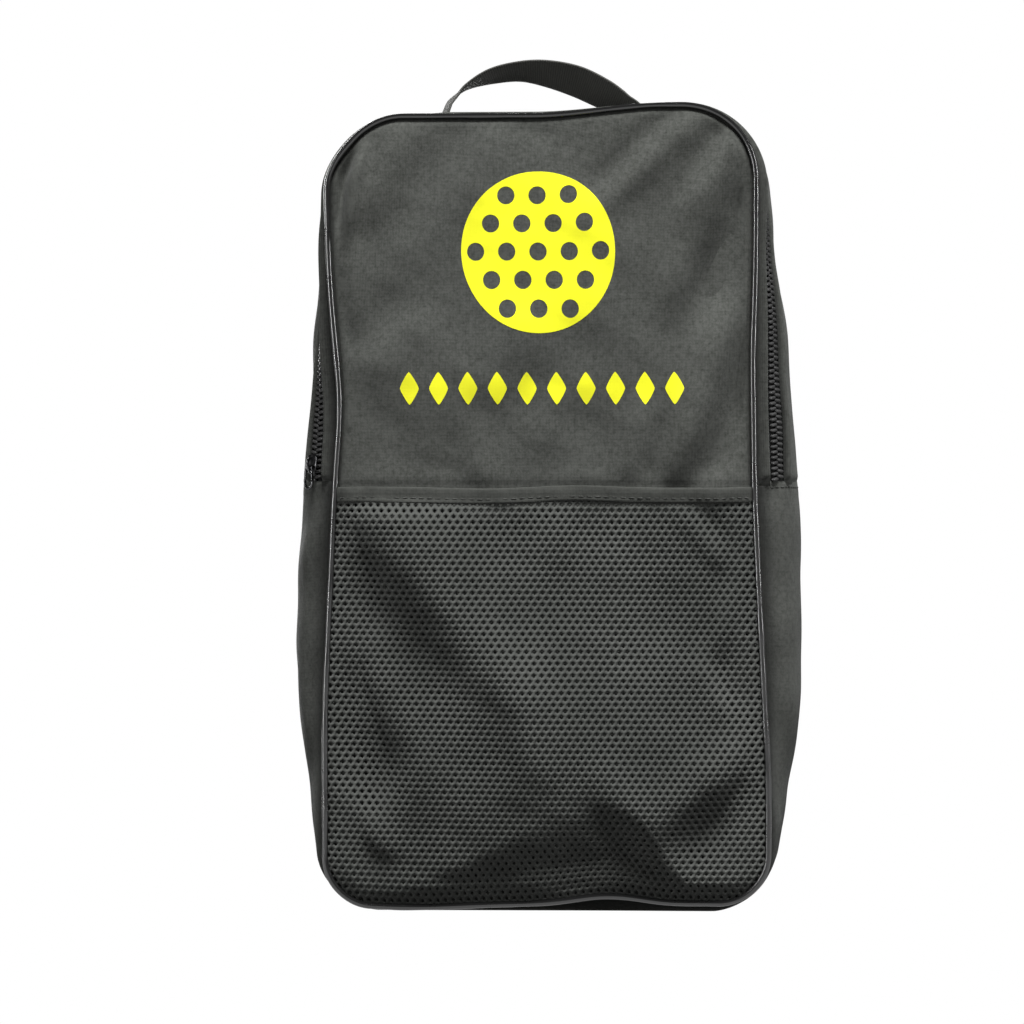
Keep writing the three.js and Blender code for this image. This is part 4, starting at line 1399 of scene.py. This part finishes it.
build_front_panel()
build_back_panel()
build_gusset()
build_strips()
build_zip()
build_stitches()
build_seams()
net = build_net()
hem, hem_stitches = build_hem()
build_handle()
build_handle_stitches()
build_slider()
build_pull()
build_disc()
build_lozenges()

# ---- Stage, lights and camera ----


def seen_and_lit(tree, seen, lit, out):
    """The camera sees one shader, and light that bounces meets the other."""
    path = tree.nodes.new("ShaderNodeLightPath")
    mix = tree.nodes.new("ShaderNodeMixShader")
    tree.links.new(path.outputs["Is Camera Ray"], mix.inputs[0])
    tree.links.new(lit.outputs[0], mix.inputs[1])
    tree.links.new(seen.outputs[0], mix.inputs[2])
    tree.links.new(mix.outputs[0], out.inputs["Surface"])


def build_stage():
    """A floor and a world that the camera sees white, and that light the case only a little."""
    mesh = bpy.data.meshes.new("floor")
    size = 6.0
    square = [(-size, -size, 0), (size, -size, 0), (size, size, 0), (-size, size, 0)]
    mesh.from_pydata(square, [], [(0, 1, 2, 3)])
    floor = bpy.data.objects.new("floor", mesh)
    bpy.context.scene.collection.objects.link(floor)
    material = bpy.data.materials.new("white_sweep")
    material.use_nodes = True
    tree = material.node_tree
    tree.nodes.clear()
    out = tree.nodes.new("ShaderNodeOutputMaterial")
    seen = tree.nodes.new("ShaderNodeEmission")
    seen.inputs[0].default_value = (1, 1, 1, 1)
    lit = tree.nodes.new("ShaderNodeBsdfDiffuse")
    lit.inputs[0].default_value = (0.06, 0.06, 0.06, 1)
    mirrored_in = tree.nodes.new("ShaderNodeEmission")
    mirrored_in.inputs[1].default_value = 0.4
    path = tree.nodes.new("ShaderNodeLightPath")
    both = tree.nodes.new("ShaderNodeMixShader")
    tree.links.new(path.outputs["Is Glossy Ray"], both.inputs[0])
    tree.links.new(lit.outputs[0], both.inputs[1])
    tree.links.new(mirrored_in.outputs[0], both.inputs[2])
    seen_and_lit(tree, seen, both, out)
    floor.data.materials.append(material)

    world = bpy.data.worlds.new("studio")
    bpy.context.scene.world = world
    world.use_nodes = True
    tree = world.node_tree
    tree.nodes.clear()
    out = tree.nodes.new("ShaderNodeOutputWorld")
    seen = tree.nodes.new("ShaderNodeBackground")
    seen.inputs[0].default_value = (1, 1, 1, 1)
    seen.inputs[1].default_value = 1.0
    lit = tree.nodes.new("ShaderNodeBackground")
    lit.inputs[0].default_value = (1, 1, 1, 1)
    lit.inputs[1].default_value = 0.04
    seen_and_lit(tree, seen, lit, out)


def area_light(name, place, target, size, power):
    light = bpy.data.lights.new(name, "AREA")
    light.shape = "RECTANGLE"
    light.size, light.size_y = size
    light.energy = power
    obj = bpy.data.objects.new(name, light)
    obj.location = place
    direction = Vector(target) - Vector(place)
    obj.rotation_euler = direction.to_track_quat("-Z", "Y").to_euler()
    bpy.context.scene.collection.objects.link(obj)
    return obj


def build_lights():
    centre = (0, 0, 0.2)
    key = area_light("key", (0.36, -1.25, 3.3), centre, (1.3, 1.0), 236)
    key.visible_glossy = False
    area_light("left_box", (-1.25, -0.85, 0.35), centre, (0.08, 1.3), 7.0)
    area_light("right_box", (1.5, -0.5, 0.66), centre, (0.09, 1.0), 7.5)
    area_light("back_light", (-0.5, 1.9, 0.45), centre, (1.4, 1.0), 26)


def build_camera():
    azimuth = math.radians(3.5)
    target = Vector((-0.0158, -SEAM * MM - 0.002, 0.1983))
    distance, view_width = 2.5, 0.5076
    data = bpy.data.cameras.new("camera")
    data.type = "PERSP"
    data.sensor_width = 36
    data.lens = data.sensor_width * distance / view_width
    camera = bpy.data.objects.new("camera", data)
    camera.location = target + Vector((math.sin(azimuth), -math.cos(azimuth), 0)) * distance
    camera.rotation_euler = (math.pi / 2, 0, azimuth)
    bpy.context.scene.collection.objects.link(camera)
    bpy.context.scene.camera = camera


build_stage()
build_lights()
build_camera()
bpy.context.scene.view_settings.view_transform = "Standard"

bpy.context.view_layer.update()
